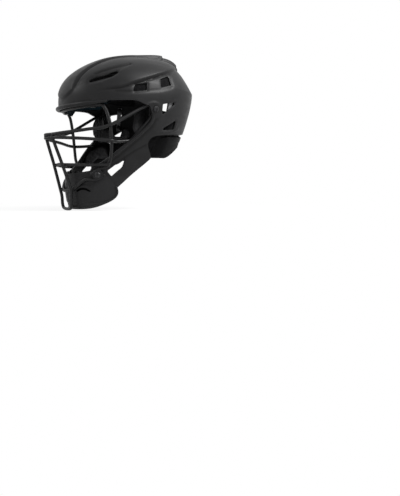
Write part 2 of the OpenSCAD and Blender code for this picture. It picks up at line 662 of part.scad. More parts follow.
// Ear straps: webbing inside the wall, crossing the ear opening, with a rivet at each end
strap_room = 6.4;
strap_a = upper_end + wire_d / 3.8 + strap_w / 4.3 + strap_room;
strap_z = [8, -28];
strap_t = 1.6;
function strap_grid(o) = [for (i = [0:8]) [for (j = [-1:1])
    let (z = strap_z[1] - 6 + (strap_z[0] - strap_z[1] + 12) * i / 8)
    skin(strap_a + j * strap_w / 4.3, z, o)]];
module ear_strap_left() {
    color("#6c6d70") difference() {
        wall_patch(strap_grid(pad_o), strap_grid(pad_o - strap_t));
        for (z = strap_z) aim(over(strap_a, z, 0), outward(strap_a, z))
            cylinder(d = rivet_d + fit, h = 24, center = true, $fn = 20);
    }
}
module ear_strap_right() { color("#6c6d70") mirror([1, 0, 0]) ear_strap_left(); }
module strap_rivets() {
    color("#3a3b3e") both_sides() for (z = strap_z)
        aim(over(strap_a, z, 0), outward(strap_a, z)) rivet(-blind, pad_o - strap_t - fit);
}

front_shell();
chin_guard();
rear_plate();
brow_wire();
upper_eye_bar();
lower_eye_bar();
mouth_bar();
chin_bar();
centre_loop();
temple_clip_left();
temple_clip_right();
jaw_clip_left();
jaw_clip_right();
brow_clips();
clip_screws();
clip_nuts();
chin_rivets();
slide_screws();
slide_nuts();
brow_pad();
crown_pad();
rear_crown_pad();
side_pad_left();
side_pad_right();
jaw_pad_left();
jaw_pad_right();
chin_pad();
nape_pad();
ear_strap_left();
ear_strap_right();
strap_rivets();
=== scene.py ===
"""Looks of a hockey-style catcher's mask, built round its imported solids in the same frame.

Sizes and places of the pieces are in millimetres, with x to the wearer's left, y to the back and z up.
Bearings are in degrees from the front, towards the wearer's left. Meshes, lamps and camera are in metres.
"""

import logging
import math
from collections.abc import Callable, Sequence
from dataclasses import dataclass
from enum import Enum

import bmesh
import bpy
import numpy as np
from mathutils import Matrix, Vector
from mathutils.kdtree import KDTree


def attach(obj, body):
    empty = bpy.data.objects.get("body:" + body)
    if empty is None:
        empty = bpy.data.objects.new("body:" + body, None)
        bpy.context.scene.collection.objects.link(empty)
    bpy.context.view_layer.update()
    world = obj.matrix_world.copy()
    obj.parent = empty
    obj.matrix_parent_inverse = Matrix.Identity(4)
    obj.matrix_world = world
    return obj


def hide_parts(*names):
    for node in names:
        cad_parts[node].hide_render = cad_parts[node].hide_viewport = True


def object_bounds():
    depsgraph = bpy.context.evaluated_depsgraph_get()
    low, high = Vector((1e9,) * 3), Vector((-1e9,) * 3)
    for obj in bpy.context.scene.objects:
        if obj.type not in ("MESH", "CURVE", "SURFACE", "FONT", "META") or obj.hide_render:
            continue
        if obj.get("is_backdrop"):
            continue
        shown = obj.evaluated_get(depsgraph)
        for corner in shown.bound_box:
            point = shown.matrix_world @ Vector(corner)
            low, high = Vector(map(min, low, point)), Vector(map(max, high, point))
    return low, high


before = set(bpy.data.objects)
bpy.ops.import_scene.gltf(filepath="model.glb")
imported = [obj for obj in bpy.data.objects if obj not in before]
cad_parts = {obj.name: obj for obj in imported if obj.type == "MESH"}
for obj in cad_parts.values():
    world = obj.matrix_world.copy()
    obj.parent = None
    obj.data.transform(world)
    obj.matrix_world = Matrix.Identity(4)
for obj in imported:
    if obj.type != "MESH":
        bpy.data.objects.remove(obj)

LOG = logging.getLogger("mask")
MM = 0.001
OUT_OF_REACH = 1e6
Array = np.ndarray
Point = tuple[float, float, float]
Spot = tuple[float, float]
Outline = Sequence[Spot]
Places = tuple[Array, Array, Array | float, Array | float]
View = Callable[[Array], Array]
Sheet = bmesh.types.BMesh
Piece = bpy.types.Object
Finish = bpy.types.Material
Socket = bpy.types.NodeSocket


class Body(str, Enum):
    """The rigid bodies of the mask."""

    MASK = "mask"
    PLATE = "plate"


def ease(low: float, high: float, x: Array) -> Array:
    """Smooth step from 0 at low to 1 at high."""
    t = np.clip((x - low) / (high - low), 0.0, 1.0)
    return t * t * (3.0 - 2.0 * t)


def bell(x: Array, width: float) -> Array:
    """Bell curve: 1 at x = 0, falling over a width."""
    return np.exp(-((x / width) ** 2))


def span(low: Array | float, high: Array | float, t: Array) -> Array:
    """Places between two ends, from low at 0 to high at 1."""
    return low + (high - low) * t


def rounded(u: Array, power: float) -> Array:
    """Quarter of a superellipse: 1 at u = 0 and 0 at u = 1."""
    return np.maximum(0.0, 1.0 - np.maximum(u, 0.0) ** power) ** (1.0 / power)


def signed_power(v: Array, power: float) -> Array:
    """Power of the magnitude, with the sign kept."""
    return np.sign(v) * np.abs(v) ** power


def unit(v: Array) -> Array:
    """Directions of length one along the last axis."""
    return v / np.maximum(np.linalg.norm(v, axis=-1, keepdims=True), 1e-9)


def near_path(points: Array, path: Sequence[Sequence[float]]) -> Array:
    """Distance of each point from a polyline, in two or three coordinates.

    Args:
        points: Points in as many coordinates as the path has.
        path: Corners of the polyline.

    Returns:
        One distance per point.
    """
    corners = np.asarray(path, float)
    best = np.full(len(points), 1e9)
    for a, b in zip(corners[:-1], corners[1:], strict=True):
        along = b - a
        t = np.clip((points - a) @ along / max(along @ along, 1e-9), 0.0, 1.0)
        best = np.minimum(best, np.linalg.norm(points - a - t[:, None] * along, axis=1))
    return best


def inside(points: Array, outline: Outline) -> Array:
    """Which flat points lie inside a closed outline.

    Args:
        points: Flat points, one per row.
        outline: Corners of the outline, in order.

    Returns:
        A truth value per point.
    """
    hit = np.zeros(len(points), bool)
    x, y = points[:, 0], points[:, 1]
    for (ax, ay), (bx, by) in zip(outline, [*outline[1:], outline[0]], strict=True):
        if ay != by:
            hit ^= ((ay > y) != (by > y)) & (x < (bx - ax) * (y - ay) / (by - ay) + ax)
    return hit


def depth_inside(points: Array, outline: Outline) -> Array:
    """How deep flat points lie inside a closed outline; negative outside."""
    away = near_path(points, [*outline, outline[0]])
    return np.where(inside(points, outline), away, -away)


def soften(outline: Outline, rounds: int = 2, share: float = 0.22, most: float = 9.0) -> list[Spot]:
    """Rounds a closed outline by cutting a share of each edge, and at most so much, off its corners.

    Args:
        outline: Corners of the outline.
        rounds: How often the corners are cut.
        share: Share of an edge that goes at each end.
        most: The most that goes at each end.

    Returns:
        The corners of the rounded outline.
    """
    points = [np.asarray(p, float) for p in outline]
    for _ in range(rounds):
        cut = []
        for a, b in zip(points, [*points[1:], points[0]], strict=True):
            reach = min(share, most / max(np.linalg.norm(b - a), 1e-6))
            cut += [a + (b - a) * reach, b - (b - a) * reach]
        points = cut
    return [(p[0], p[1]) for p in points]


def swell(outline: Outline, radius: float, steps: int = 5) -> list[Spot]:
    """Grows a convex outline by a radius, with an arc round each corner.

    Args:
        outline: Corners of the outline.
        radius: How far it grows.
        steps: Points on each corner's arc.

    Returns:
        The corners of the grown outline, counter-clockwise.
    """
    points = np.asarray(outline, float)
    ahead = np.roll(points, -1, axis=0)
    if np.sum(points[:, 0] * ahead[:, 1] - points[:, 1] * ahead[:, 0]) < 0:
        points = points[::-1]
    grown = []
    for i, p in enumerate(points):
        into = p - points[i - 1]
        out = points[(i + 1) % len(points)] - p
        start = math.atan2(-into[0], into[1])
        turn = (math.atan2(-out[0], out[1]) - start) % (2 * math.pi)
        for k in range(steps):
            bearing = start + turn * k / (steps - 1)
            grown.append((p[0] + radius * math.cos(bearing), p[1] + radius * math.sin(bearing)))
    return grown


def smooth_path(points: Sequence[Sequence[float]], steps: int) -> Array:
    """Smooth curve through points, in so many steps between two, as the cage wires are bent.

    Args:
        points: Points that the curve passes.
        steps: Steps between two of them.

    Returns:
        Points along the curve.
    """
    p = np.asarray(points, float)
    track = []
    for i in range(len(p) - 1):
        before, a, b, after = p[max(0, i - 1)], p[i], p[i + 1], p[min(len(p) - 1, i + 2)]
        for t in np.arange(steps) / steps:
            curve = 2 * a + (b - before) * t + (2 * before - 5 * a + 4 * b - after) * t**2
            track.append((curve + (3 * a - before - 3 * b + after) * t**3) / 2)
    return np.asarray([*track, p[-1]])


def mirrored(half: Sequence[Sequence[float]]) -> list[Array]:
    """Adds the other side to a path that ends on the middle plane."""
    near = [np.asarray(p, float) for p in half]
    return near + [p * (-1, 1, 1) for p in near[-2::-1]]


@dataclass(frozen=True)
class MouldedForm:
    """The moulded surface that shell, guard, plate and liner follow, in millimetres."""

    shell_w: float = 210.0
    front_reach: float = 121.0
    rear_reach: float = 133.0
    crown_h: float = 90.0
    crown_back: float = 61.0
    chin_half: float = 62.0
    chin_reach: float = 112.0
    wide_z: float = 10.0
    bulge_z: float = 27.0
    plan_power: float = 2.15
    front_power: float = 2.31
    side_power: float = 2.1
    rear_power: float = 7.0
    rear_slope: float = 0.55
    middle_back: float = 8.0
    middle_fade: float = 30.0
    chin_h: float = 120.0
    chin_curl: float = 7.0
    curl_z: float = -145.0
    curl_h: float = 42.0
    nape_in: float = 30.0
    nape_h: float = 100.0
    nape_power: float = 1.3
    jaw_h: float = 139.0
    jaw_power: float = 1.9
    jaw_pinch: float = 1.35

    def front_y(self, z: Array, o: Array) -> Array:
        """Front of the plan section at height z, moved outwards by o.

        Args:
            z: Heights.
            o: Distance outside the surface.

        Returns:
            The places along y.
        """
        length = self.crown_back + self.front_reach + o
        above = self.crown_back - length * rounded(z / (self.crown_h + o), self.front_power)
        below = -o - self.front_reach + (self.front_reach - self.chin_reach) * ease(0, self.chin_h, -z)
        curl = self.chin_curl * (np.maximum(0, self.curl_z - z) / self.curl_h) ** 2
        return np.where(z >= 0, above, below + curl)

    def rear_y(self, z: Array, o: Array) -> Array:
        """Back of the plan section at height z, moved outwards by o.

        Args:
            z: Heights.
            o: Distance outside the surface.

        Returns:
            The places along y.
        """
        s = np.clip((z - self.bulge_z) / (self.crown_h + o - self.bulge_z), 0, 1)
        above = (1 - self.rear_slope * s) * rounded(s, self.rear_power)
        below = self.nape_in * (np.maximum(0, self.bulge_z - z) / self.nape_h) ** self.nape_power
        return np.where(
            z >= self.bulge_z,
            self.crown_back + (self.rear_reach + o - self.crown_back) * above,
            self.rear_reach + o - below,
        )

    def half_x(self, z: Array, o: Array) -> Array:
        """Half-width of the plan section at height z, moved outwards by o.

        Args:
            z: Heights.
            o: Distance outside the surface.

        Returns:
            The half-widths.
        """
        half = self.shell_w / 2
        above = (half + o) * rounded((z - self.wide_z) / (self.crown_h + o - self.wide_z), self.side_power)
        drop = np.maximum(0, self.wide_z - z) / self.jaw_h
        narrow = np.maximum(0, 1 - drop**self.jaw_power) ** self.jaw_pinch
        return np.where(z >= self.wide_z, above, o + self.chin_half + (half - self.chin_half) * narrow)

    def section(self, z: Array, o: Array | float) -> tuple[Array, Array, Array]:
        """Front, middle and back of the plan section at height z, moved outwards by o.

        Args:
            z: Heights.
            o: Distance outside the surface.

        Returns:
            The three places along y.
        """
        front, rear = self.front_y(z, o), self.rear_y(z, o)
        back = self.middle_back * np.minimum(1, (self.crown_h + o - z) / self.middle_fade)
        return front, (front + rear) / 2 + back, rear

    def skin(self, bearing: Array, z: Array, o: Array | float = 0.0) -> Array:
        """Points of the surface.

        Args:
            bearing: Degrees from the front, towards the wearer's left.
            z: Heights.
            o: Distance outside the surface.

        Returns:
            Points, one per row.
        """
        a, z, o = np.broadcast_arrays(*(np.asarray(v, float) for v in (np.radians(bearing), z, o)))
        front, middle, rear = self.section(z, o)
        k = -np.cos(a)
        x = self.half_x(z, o) * signed_power(np.sin(a), 2 / self.plan_power)
        y = middle + np.where(k < 0, middle - front, rear - middle) * signed_power(k, 2 / self.plan_power)
        return np.stack([x, y, z], axis=-1)

    def side_point(self, y: Array, z: Array) -> Array:
        """Points of the surface on the wearer's left, from their side view.

        Args:
            y: Places from front to back.
            z: Heights.

        Returns:
            Points, one per row.
        """
        y, z = np.asarray(y, float), np.asarray(z, float)
        front, middle, rear = self.section(z, 0.0)
        away = np.where(y < middle, (middle - y) / (middle - front), (y - middle) / (rear - middle))
        return np.stack([self.half_x(z, 0.0) * rounded(away, self.plan_power), y, z], axis=-1)

    def outward(self, bearing: float, z: float) -> Array:
        """Outward direction of the surface at a bearing and height.

        Args:
            bearing: Degrees from the front.
            z: Height.

        Returns:
            A direction of length one.
        """
        across = self.skin(bearing + 0.5, z) - self.skin(bearing - 0.5, z)
        rise = self.skin(bearing, z + 0.5) - self.skin(bearing, z - 0.5)
        return unit(np.cross(across, rise))

    def over(self, bearing: float, z: float, o: float) -> Array:
        """A point at a distance square to the surface."""
        return self.skin(bearing, z) + o * self.outward(bearing, z)


FORM = MouldedForm()
WALL = 3.4
SEAT = 0.5
CHIN_GAP = 0.9
CHIN_WALL = 3.2
PLATE_WALL = 3.0
PLATE_O = -WALL - 3.0
WIRE_D = 5.6
FIT = 0.3
ROD_START = (0.31, 0.17, 0.93)
ROD_END_INSET = 0.45
ROD_END_RISE = 0.25
REAR_HALF = 0.05


def new_object(name: str, bm: Sheet, smooth: bool = True) -> Piece:
    """Links a finished bmesh, which is freed, as an object at the origin.

    Args:
        name: The name of the piece.
        bm: The mesh, which is freed.
        smooth: Whether its faces are shaded smooth.

    Returns:
        The linked piece.
    """
    mesh = bpy.data.meshes.new(name)
    for face in bm.faces:
        face.smooth = smooth
    bm.to_mesh(mesh)
    bm.free()
    piece = bpy.data.objects.new(name, mesh)
    bpy.context.scene.collection.objects.link(piece)
    return piece


def turn_outwards(bm: Sheet) -> None:
    """Turns the faces of a mesh outwards."""
    bmesh.ops.recalc_face_normals(bm, faces=list(bm.faces))


def formed_grid(cols: int, rows: int, place: Callable[[Array, Array], Array]) -> Sheet:
    """A grid whose points a formula puts in place.

    Args:
        cols: Faces across.
        rows: Faces up.
        place: Takes the places across and up, from 0 to 1, and gives points in millimetres.

    Returns:
        The mesh, in metres, with a UV map of the places.
    """
    bm = bmesh.new()
    bmesh.ops.create_grid(bm, x_segments=cols, y_segments=rows, size=0.5)
    flat = np.array([v.co[:2] for v in bm.verts]) + 0.5
    layer = bm.loops.layers.uv.new("places")
    for face in bm.faces:
        for loop in face.loops:
            loop[layer].uv = (loop.vert.co.x + 0.5, loop.vert.co.y + 0.5)
    for vert, co in zip(bm.verts, place(flat[:, 0], flat[:, 1]) * MM, strict=True):
        vert.co = co
    return bm


def sweep(name: str, path: Array, radius: float | Array, sides: int = 14, closed: bool = False) -> Piece:
    """A round rod along a path.

    Args:
        name: The piece's name.
        path: Points along its middle, in millimetres.
        radius: The rod's radius, in millimetres, or one at each point.
        sides: Sides of its section.
        closed: Whether the path is a ring.

    Returns:
        The rod.
    """
    count = len(path)
    radii = np.broadcast_to(radius, count)
    steps = np.arange(count)
    ahead = np.roll(path, -1, axis=0) if closed else path[np.minimum(steps + 1, count - 1)]
    behind = np.roll(path, 1, axis=0) if closed else path[np.maximum(steps - 1, 0)]
    heading = unit(ahead - behind)
    side = np.array(ROD_START)
    turns = np.arange(sides) * 2 * math.pi / sides
    bm = bmesh.new()
    first = ring = bmesh.ops.create_circle(bm, segments=sides, radius=1.0)["verts"]
    edges = list(bm.edges)
    for i in range(count):
        side = unit(side - (side @ heading[i]) * heading[i])
        other = np.cross(heading[i], side)
        if i:
            grown = bmesh.ops.extrude_edge_only(bm, edges=edges)["geom"]
            known = {v for v in grown if isinstance(v, bmesh.types.BMVert)}
            edges = [e for e in grown if isinstance(e, bmesh.types.BMEdge) and known.issuperset(e.verts)]
            ring = [next(e.other_vert(v) for e in v.link_edges if e.other_vert(v) in known) for v in ring]
        for vert, turn in zip(ring, turns, strict=True):
            vert.co = (path[i] + radii[i] * (math.cos(turn) * side + math.sin(turn) * other)) * MM
    if closed:
        edges += [e for e in bm.edges if e.verts[0] in first and e.verts[1] in first]
        bmesh.ops.bridge_loops(bm, edges=edges)
    else:
        for end, sign, i in ((first, -1, 0), (ring, 1, count - 1)):
            face = bm.faces.new(end)
            bmesh.ops.inset_region(bm, faces=[face], thickness=radii[i] * ROD_END_INSET * MM)
            rise = Vector(heading[i] * sign * radii[i] * ROD_END_RISE * MM)
            bmesh.ops.translate(bm, verts=list(face.verts), vec=rise)
    turn_outwards(bm)
    return new_object(name, bm)


def side_view(points: Array) -> Array:
    """Flat places as seen from the side."""
    return points[:, 1:] / MM


def front_view(points: Array) -> Array:
    """Flat places as seen from the front."""
    return points[:, ::2] / MM


def rear_view(points: Array) -> Array:
    """Flat places as seen from behind; the front half is out of reach.

    Args:
        points: Points in metres.

    Returns:
        Flat places in millimetres.
    """
    places = points[:, ::2] / MM
    places[points[:, 1] < REAR_HALF] = OUT_OF_REACH
    return places


def centres(faces: Sequence[bmesh.types.BMFace]) -> Array:
    """The middle of each face."""
    return np.array([f.calc_center_median() for f in faces])


def cut_lines(bm: Sheet, outline: Outline, flat: View, near: float = 9.0, reach: float = 5.0) -> None:
    """Cuts the lines of an outline into a sheet, straight through along the view.

    Args:
        bm: The sheet, in metres.
        outline: Corners of the outline, in millimetres on the flat view.
        flat: The view, which turns points in metres into flat places in millimetres.
        near: How near the outline the faces lie that are looked at, in millimetres.
        reach: How near a line the faces lie that it cuts, in millimetres.
    """
    corners = [*outline, outline[0]]
    sideways = flat is side_view
    axis = Vector((1, 0, 0) if sideways else (0, 1, 0))
    close = near_path(flat(centres(bm.faces)), corners) < near
    bm.faces.ensure_lookup_table()
    active = {bm.faces[i] for i in np.flatnonzero(close)}
    for a, b in zip(corners[:-1], corners[1:], strict=True):
        live = [f for f in active if f.is_valid]
        picked = [live[i] for i in np.flatnonzero(near_path(flat(centres(live)), [a, b]) < reach)]
        if not picked:
            continue
        start, end = (Vector((0, p * MM, q * MM) if sideways else (p * MM, 0, q * MM)) for p, q in (a, b))
        geom = {*picked, *(e for f in picked for e in f.edges), *(v for f in picked for v in f.verts)}
        across = (end - start).cross(axis).normalized()
        cut = bmesh.ops.bisect_plane(bm, geom=list(geom), dist=1e-7, plane_co=start, plane_no=across)
        active |= {g for g in cut["geom"] if isinstance(g, bmesh.types.BMFace)}


def cut_through(bm: Sheet, cuts: Sequence[tuple[Outline, View]]) -> None:
    """Cuts openings straight through a sheet, and turns the rest outwards.

    Args:
        bm: The sheet, in metres.
        cuts: Outlines in millimetres, each with the view that it is drawn in.
    """
    for outline, flat in cuts:
        cut_lines(bm, outline, flat)
    faces = list(bm.faces)
    middles = centres(faces)
    gone = np.zeros(len(faces), bool)
    for outline, flat in cuts:
        gone |= inside(flat(middles), outline)
    bmesh.ops.delete(bm, geom=[faces[i] for i in np.flatnonzero(gone)], context="FACES")
    turn_outwards(bm)


def add_wall(piece: Piece, thickness: float, round_edge: float = 0.9) -> None:
    """Gives a sheet its wall, inwards, with rounded edges; both measures are in millimetres.

    Args:
        piece: The sheet.
        thickness: The thickness of the wall, in millimetres.
        round_edge: The width of the rounded edges, in millimetres.
    """
    solid = piece.modifiers.new("wall", "SOLIDIFY")
    solid.thickness, solid.offset, solid.use_even_offset = thickness * MM, -1.0, False
    edge = piece.modifiers.new("edge", "BEVEL")
    edge.width, edge.segments, edge.limit_method = round_edge * MM, 2, "ANGLE"
    edge.angle_limit, edge.use_clamp_overlap = math.radians(50), True
    edge.harden_normals = True


class Wiring:
    """Adds shader nodes to a material or a world, and joins them."""

    def __init__(self, holder: Finish | bpy.types.World) -> None:
        """Starts with the holder's own nodes and the places on its piece.

        Args:
            holder: The material or world.
        """
        holder.use_nodes = True
        self.tree = holder.node_tree
        self.shader = self.tree.nodes.get("Principled BSDF")
        self.place = self.add("TexCoord").outputs["Object"]

    def put(self, socket: Socket, value: object) -> None:
        """Links or sets an input.

        Args:
            socket: The input.
            value: A socket to link or a value to set.
        """
        if isinstance(value, Socket):
            self.tree.links.new(value, socket)
        else:
            socket.default_value = value

    def add(self, kind: str, *inputs: object, **values: object) -> bpy.types.Node:
        """Adds a node.

        Args:
            kind: The node's type.
            *inputs: Sockets or values of its first inputs.
            **values: Attributes of the node, or inputs by name with _ for a space.

        Returns:
            The node.
        """
        node = self.tree.nodes.new(f"ShaderNode{kind}")
        for key, value in values.items():
            if hasattr(node, key):
                setattr(node, key, value)
            else:
                self.put(node.inputs[key.replace("_", " ")], value)
        for socket, value in zip(node.inputs, inputs, strict=False):
            self.put(socket, value)
        return node

    def set(self, **values: object) -> None:
        """Sets or links inputs of the shader."""
        for key, value in values.items():
            self.put(self.shader.inputs[key.replace("_", " ")], value)

    def show(self, share: Socket, *shaders: bpy.types.Node) -> None:
        """Shows two shaders, mixed by a share.

        Args:
            share: Share of the second shader.
            *shaders: The two shaders.
        """
        mix = self.add("MixShader", share, *(node.outputs[0] for node in shaders))
        output = next(node for node in self.tree.nodes if node.bl_idname.startswith("ShaderNodeOutput"))
        self.put(output.inputs["Surface"], mix.outputs[0])

    def calc(self, operation: str, *inputs: Socket) -> Socket:
        """The result of a sum."""
        return self.add("Math", *inputs, operation=operation).outputs[0]

    def seen(self) -> Socket:
        """One for rays that show the background: camera, glossy and transmission.

        Returns:
            The share as a socket.
        """
        rays = self.add("LightPath").outputs
        shown = self.calc("MAXIMUM", rays["Is Camera Ray"], rays["Is Glossy Ray"])
        return self.calc("MAXIMUM", shown, rays["Is Transmission Ray"])

    def noise(self, scale: float, detail: float = 3.0, stretch: Point | None = None) -> Socket:
        """Noise over the piece, at a scale per metre."""
        place = self.add("Mapping", self.place, Scale=stretch).outputs[0] if stretch else self.place
        return self.add("TexNoise", place, Scale=scale, Detail=detail).outputs["Fac"]

    def between(self, source: Socket, low: float, high: float) -> Socket:
        """Maps a noise's usual range onto two values."""
        node = self.add("MapRange", source, From_Min=0.3, From_Max=0.7, To_Min=low, To_Max=high)
        return node.outputs["Result"]

    def tint(self, source: Socket, tone: Point, dark: float, light: float) -> Socket:
        """Shades of a tone, between two shares of it, by a noise.

        Args:
            source: The noise.
            tone: The tone.
            dark: Share of the tone at the low end.
            light: Share of the tone at the high end.

        Returns:
            The colour.
        """
        ramp = self.add("ValToRGB", source)
        for end, position, share in zip(ramp.color_ramp.elements, (0.34, 0.68), (dark, light), strict=True):
            end.position, end.color = position, (*(c * share for c in tone), 1.0)
        return ramp.outputs["Color"]

    def mix(self, share: Socket, first: Socket, second: object) -> Socket:
        """A colour between two.

        Args:
            share: Share of the second colour.
            first: The first colour.
            second: The second colour, as a socket or a value.

        Returns:
            The colour.
        """
        node = self.add("Mix", share, data_type="RGBA")
        self.put(node.inputs[6], first)
        self.put(node.inputs[7], second)
        return node.outputs[2]

    def bump(self, height: Socket, depth: float, strength: float, under: Socket | None = None) -> Socket:
        """Normal of a height field so many millimetres deep, over another one if there is one.

        Args:
            height: The height field.
            depth: Its depth, in millimetres.
            strength: How strongly it shows.
            under: The normal that it lies on.

        Returns:
            The normal.
        """
        node = self.add("Bump", Strength=strength, Distance=depth * MM, Height=height)
        if under:
            self.put(node.inputs["Normal"], under)
        return node.outputs["Normal"]


@dataclass(frozen=True)
class Coat:
    """A finish, with its tone."""

    name: str
    tone: Point

    def wire(self, w: Wiring) -> None:
        """Joins the finish's nodes."""
        raise NotImplementedError

    def material(self) -> Finish:
        """Builds the material.

        Returns:
            The material.
        """
        finish = bpy.data.materials.new(self.name)
        self.wire(Wiring(finish))
        return finish


@dataclass(frozen=True)
class MouldedPlastic(Coat):
    """Matte moulded plastic with a fine grain and faint scuffs."""

    roughness: float
    grain: float = 0.25
    shine: float = 0.16
    valley_shade: bool = False

    def wire(self, w: Wiring) -> None:
        """Joins the finish's nodes; painted shade darkens the moulded grooves.

        Args:
            w: The nodes of the material.
        """
        colour = w.tint(w.noise(26.0, 4.0), self.tone, 0.86, 1.16)
        if self.valley_shade:
            # Painted shade: the colour falls to a fifth of the tone where the valley attribute is high.
            deep = w.add("Attribute", attribute_name="valley").outputs["Fac"]
            colour = w.mix(deep, colour, (*(c * 0.2 for c in self.tone), 1.0))
        w.set(Base_Color=colour, Specular_IOR_Level=self.shine)
        scuff = w.noise(60.0, 5.0, (1.0, 0.25, 2.2))
        w.set(Roughness=w.between(scuff, self.roughness - 0.05, self.roughness + 0.07))
        soft = w.bump(w.noise(70.0, 2.0), 0.25, 0.12)
        w.set(Normal=w.bump(w.noise(1500.0, 2.0), 0.12, self.grain, soft))


@dataclass(frozen=True)
class PowderCoat(Coat):
    """Black powder coat over steel wire, with the coat's small ripples."""

    def wire(self, w: Wiring) -> None:
        """Joins the finish's nodes.

        Args:
            w: The nodes of the material.
        """
        w.set(Base_Color=w.tint(w.noise(140.0, 3.0), self.tone, 0.85, 1.25))
        w.set(Roughness=w.between(w.noise(380.0, 3.0), 0.38, 0.5), Specular_IOR_Level=0.2)
        w.set(Normal=w.bump(w.noise(760.0, 2.0), 0.12, 0.3))


@dataclass(frozen=True)
class FoamCloth(Coat):
    """Knitted cloth over foam, with a nap and perhaps a second tone past a place, in metres, on an axis
    (painted light and shade on the cheek and jaw pads).
    """

    shine: float
    nap: float = 0.01
    second_tone_and_shade: Point | None = None
    split: tuple[str, float, float] = ("Y", -0.075, -0.06)

    def wire(self, w: Wiring) -> None:
        """Joins the finish's nodes.

        Args:
            w: The nodes of the material.
        """
        nap = w.noise(180.0, 5.0)
        colour = w.tint(nap, self.tone, 0.7, 1.5)
        # On the cheek and jaw pads the first tone is painted light and the second painted shade; on the brow
        # pad it is a real second colour.
        if self.second_tone_and_shade:
            axis, low, high = self.split
            along = w.add("SeparateXYZ", w.place).outputs[axis]
            if axis == "X":
                along = w.calc("ABSOLUTE", along)
            share = w.add("MapRange", along, From_Min=low, From_Max=high).outputs["Result"]
            colour = w.mix(share, colour, w.tint(nap, self.second_tone_and_shade, 0.7, 1.5))
        w.set(Base_Color=colour, Roughness=w.between(w.noise(420.0, 2.0), 0.8, 0.95))
        w.set(Sheen_Weight=self.nap, Sheen_Roughness=0.5, Specular_IOR_Level=self.shine)
        knit = w.add("TexVoronoi", w.place, Scale=720.0).outputs["Distance"]
        w.set(Normal=w.bump(knit, 0.45, 0.55, w.bump(w.noise(55.0, 3.0), 0.6, 0.25)))


@dataclass(frozen=True)
class Webbing(Coat):
    """Woven webbing with ribs along the strap."""

    def wire(self, w: Wiring) -> None:
        """Joins the finish's nodes.

        Args:
            w: The nodes of the material.
        """
        waves = [
            w.add("TexWave", w.place, Scale=scale, Distortion=0.4, bands_direction=way).outputs["Fac"]
            for way, scale in (("Y", 210.0), ("Z", 320.0))
        ]
        weave = w.calc("MULTIPLY", *waves)
        w.set(Base_Color=w.tint(weave, self.tone, 0.55, 1.0))
        w.set(Roughness=w.between(w.noise(300.0), 0.75, 0.9), Normal=w.bump(weave, 0.3, 0.6))


@dataclass(frozen=True)
class DarkSteel(Coat):
    """Blackened steel of screws and nuts, worn a little along the machining."""

    def wire(self, w: Wiring) -> None:
        """Joins the finish's nodes.

        Args:
            w: The nodes of the material.
        """
        w.set(Base_Color=w.tint(w.noise(500.0, 4.0), self.tone, 0.6, 1.7))
        w.set(Metallic=0.35, Specular_IOR_Level=0.3, Roughness=w.between(w.noise(900.0, 3.0), 0.32, 0.5))
        w.set(Normal=w.bump(w.noise(2200.0, 2.0, (1.0, 1.0, 0.2)), 0.05, 0.3))


MOULDED_TONE = (0.0115, 0.0115, 0.0119)
# Lit and shaded copies of the pad cloth: the face tone is painted light, the back tone painted shade where
# the pads lie behind the shell.
LIT_FACE_TONE = (0.03, 0.03, 0.031)
SHADED_BACK_TONE = (0.003, 0.003, 0.0032)
LINER_TONE = (0.004, 0.004, 0.0043)
SHELL_FINISH = MouldedPlastic("shell_plastic", MOULDED_TONE, 0.43, shine=0.12, valley_shade=True).material()
GUARD_FINISH = MouldedPlastic("guard_plastic", MOULDED_TONE, 0.48, shine=0.13).material()
# Painted shade: the rear plate is toned darker than the shell for the shadow it sits in under the shell's
# lower edge.
PLATE_FINISH = MouldedPlastic("plate_plastic", (0.004, 0.004, 0.0042), 0.5, shine=0.04).material()
CLIP_FINISH = MouldedPlastic("clip_nylon", (0.009, 0.009, 0.0095), 0.4, 0.15).material()
WIRE_FINISH = PowderCoat("cage_coat", (0.007, 0.007, 0.0073)).material()
LINER_FINISH = FoamCloth("liner_cloth", LINER_TONE, 0.05).material()
# Painted light on the pads' faces and painted shade on their outer parts, split across x.
CHEEK_FINISH = FoamCloth("cheek_cloth", LIT_FACE_TONE, 0.03, 0.0, SHADED_BACK_TONE, ("X", 0.081, 0.087)).material()
JAW_FINISH = FoamCloth("jaw_cloth", LIT_FACE_TONE, 0.03, 0.0, SHADED_BACK_TONE, ("X", 0.069, 0.074)).material()
BROW_FINISH = FoamCloth("brow_cloth", (0.003, 0.0075, 0.0105), 0.04, second_tone_and_shade=LINER_TONE).material()
STRAP_FINISH = Webbing("strap_web", (0.16, 0.16, 0.165)).material()
STEEL_FINISH = DarkSteel("screw_steel", (0.016, 0.016, 0.017)).material()


def dress(piece: Piece, finish: Finish, body: Body, slot: str, *nodes: str) -> Piece:
    """Gives a piece its finish, its body and the nodes that it stands for.

    Args:
        piece: The piece.
        finish: Its material.
        body: The body that it moves with.
        slot: The record's material slot; not used.
        *nodes: Nodes that it replaces.

    Returns:
        The piece.
    """
    piece.data.materials.clear()
    piece.data.materials.append(finish)
    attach(piece, body.value)
    if nodes:
        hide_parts(*nodes)
    LOG.info("%s: %d faces", piece.name, len(piece.data.polygons))
    return piece


@dataclass(frozen=True)
class Line:
    """A moulded line of the shell in its side view: a ridge, or a valley if its height is negative."""

    path: tuple[Spot, ...]
    width: float
    height: float

    def rise(self, flat: Array) -> Array:
        """How far the line moves each point outwards."""
        return self.height * bell(near_path(flat, self.path), self.width)


@dataclass(frozen=True)
class Hollow:
    """A shallow field of the shell in its side view."""

    outline: tuple[Spot, ...]
    depth: float
    edge: float = 1.6

    def rise(self, flat: Array) -> Array:
        """How far the field moves each point outwards."""
        return -self.depth * ease(-self.edge, self.edge, depth_inside(flat, self.outline))


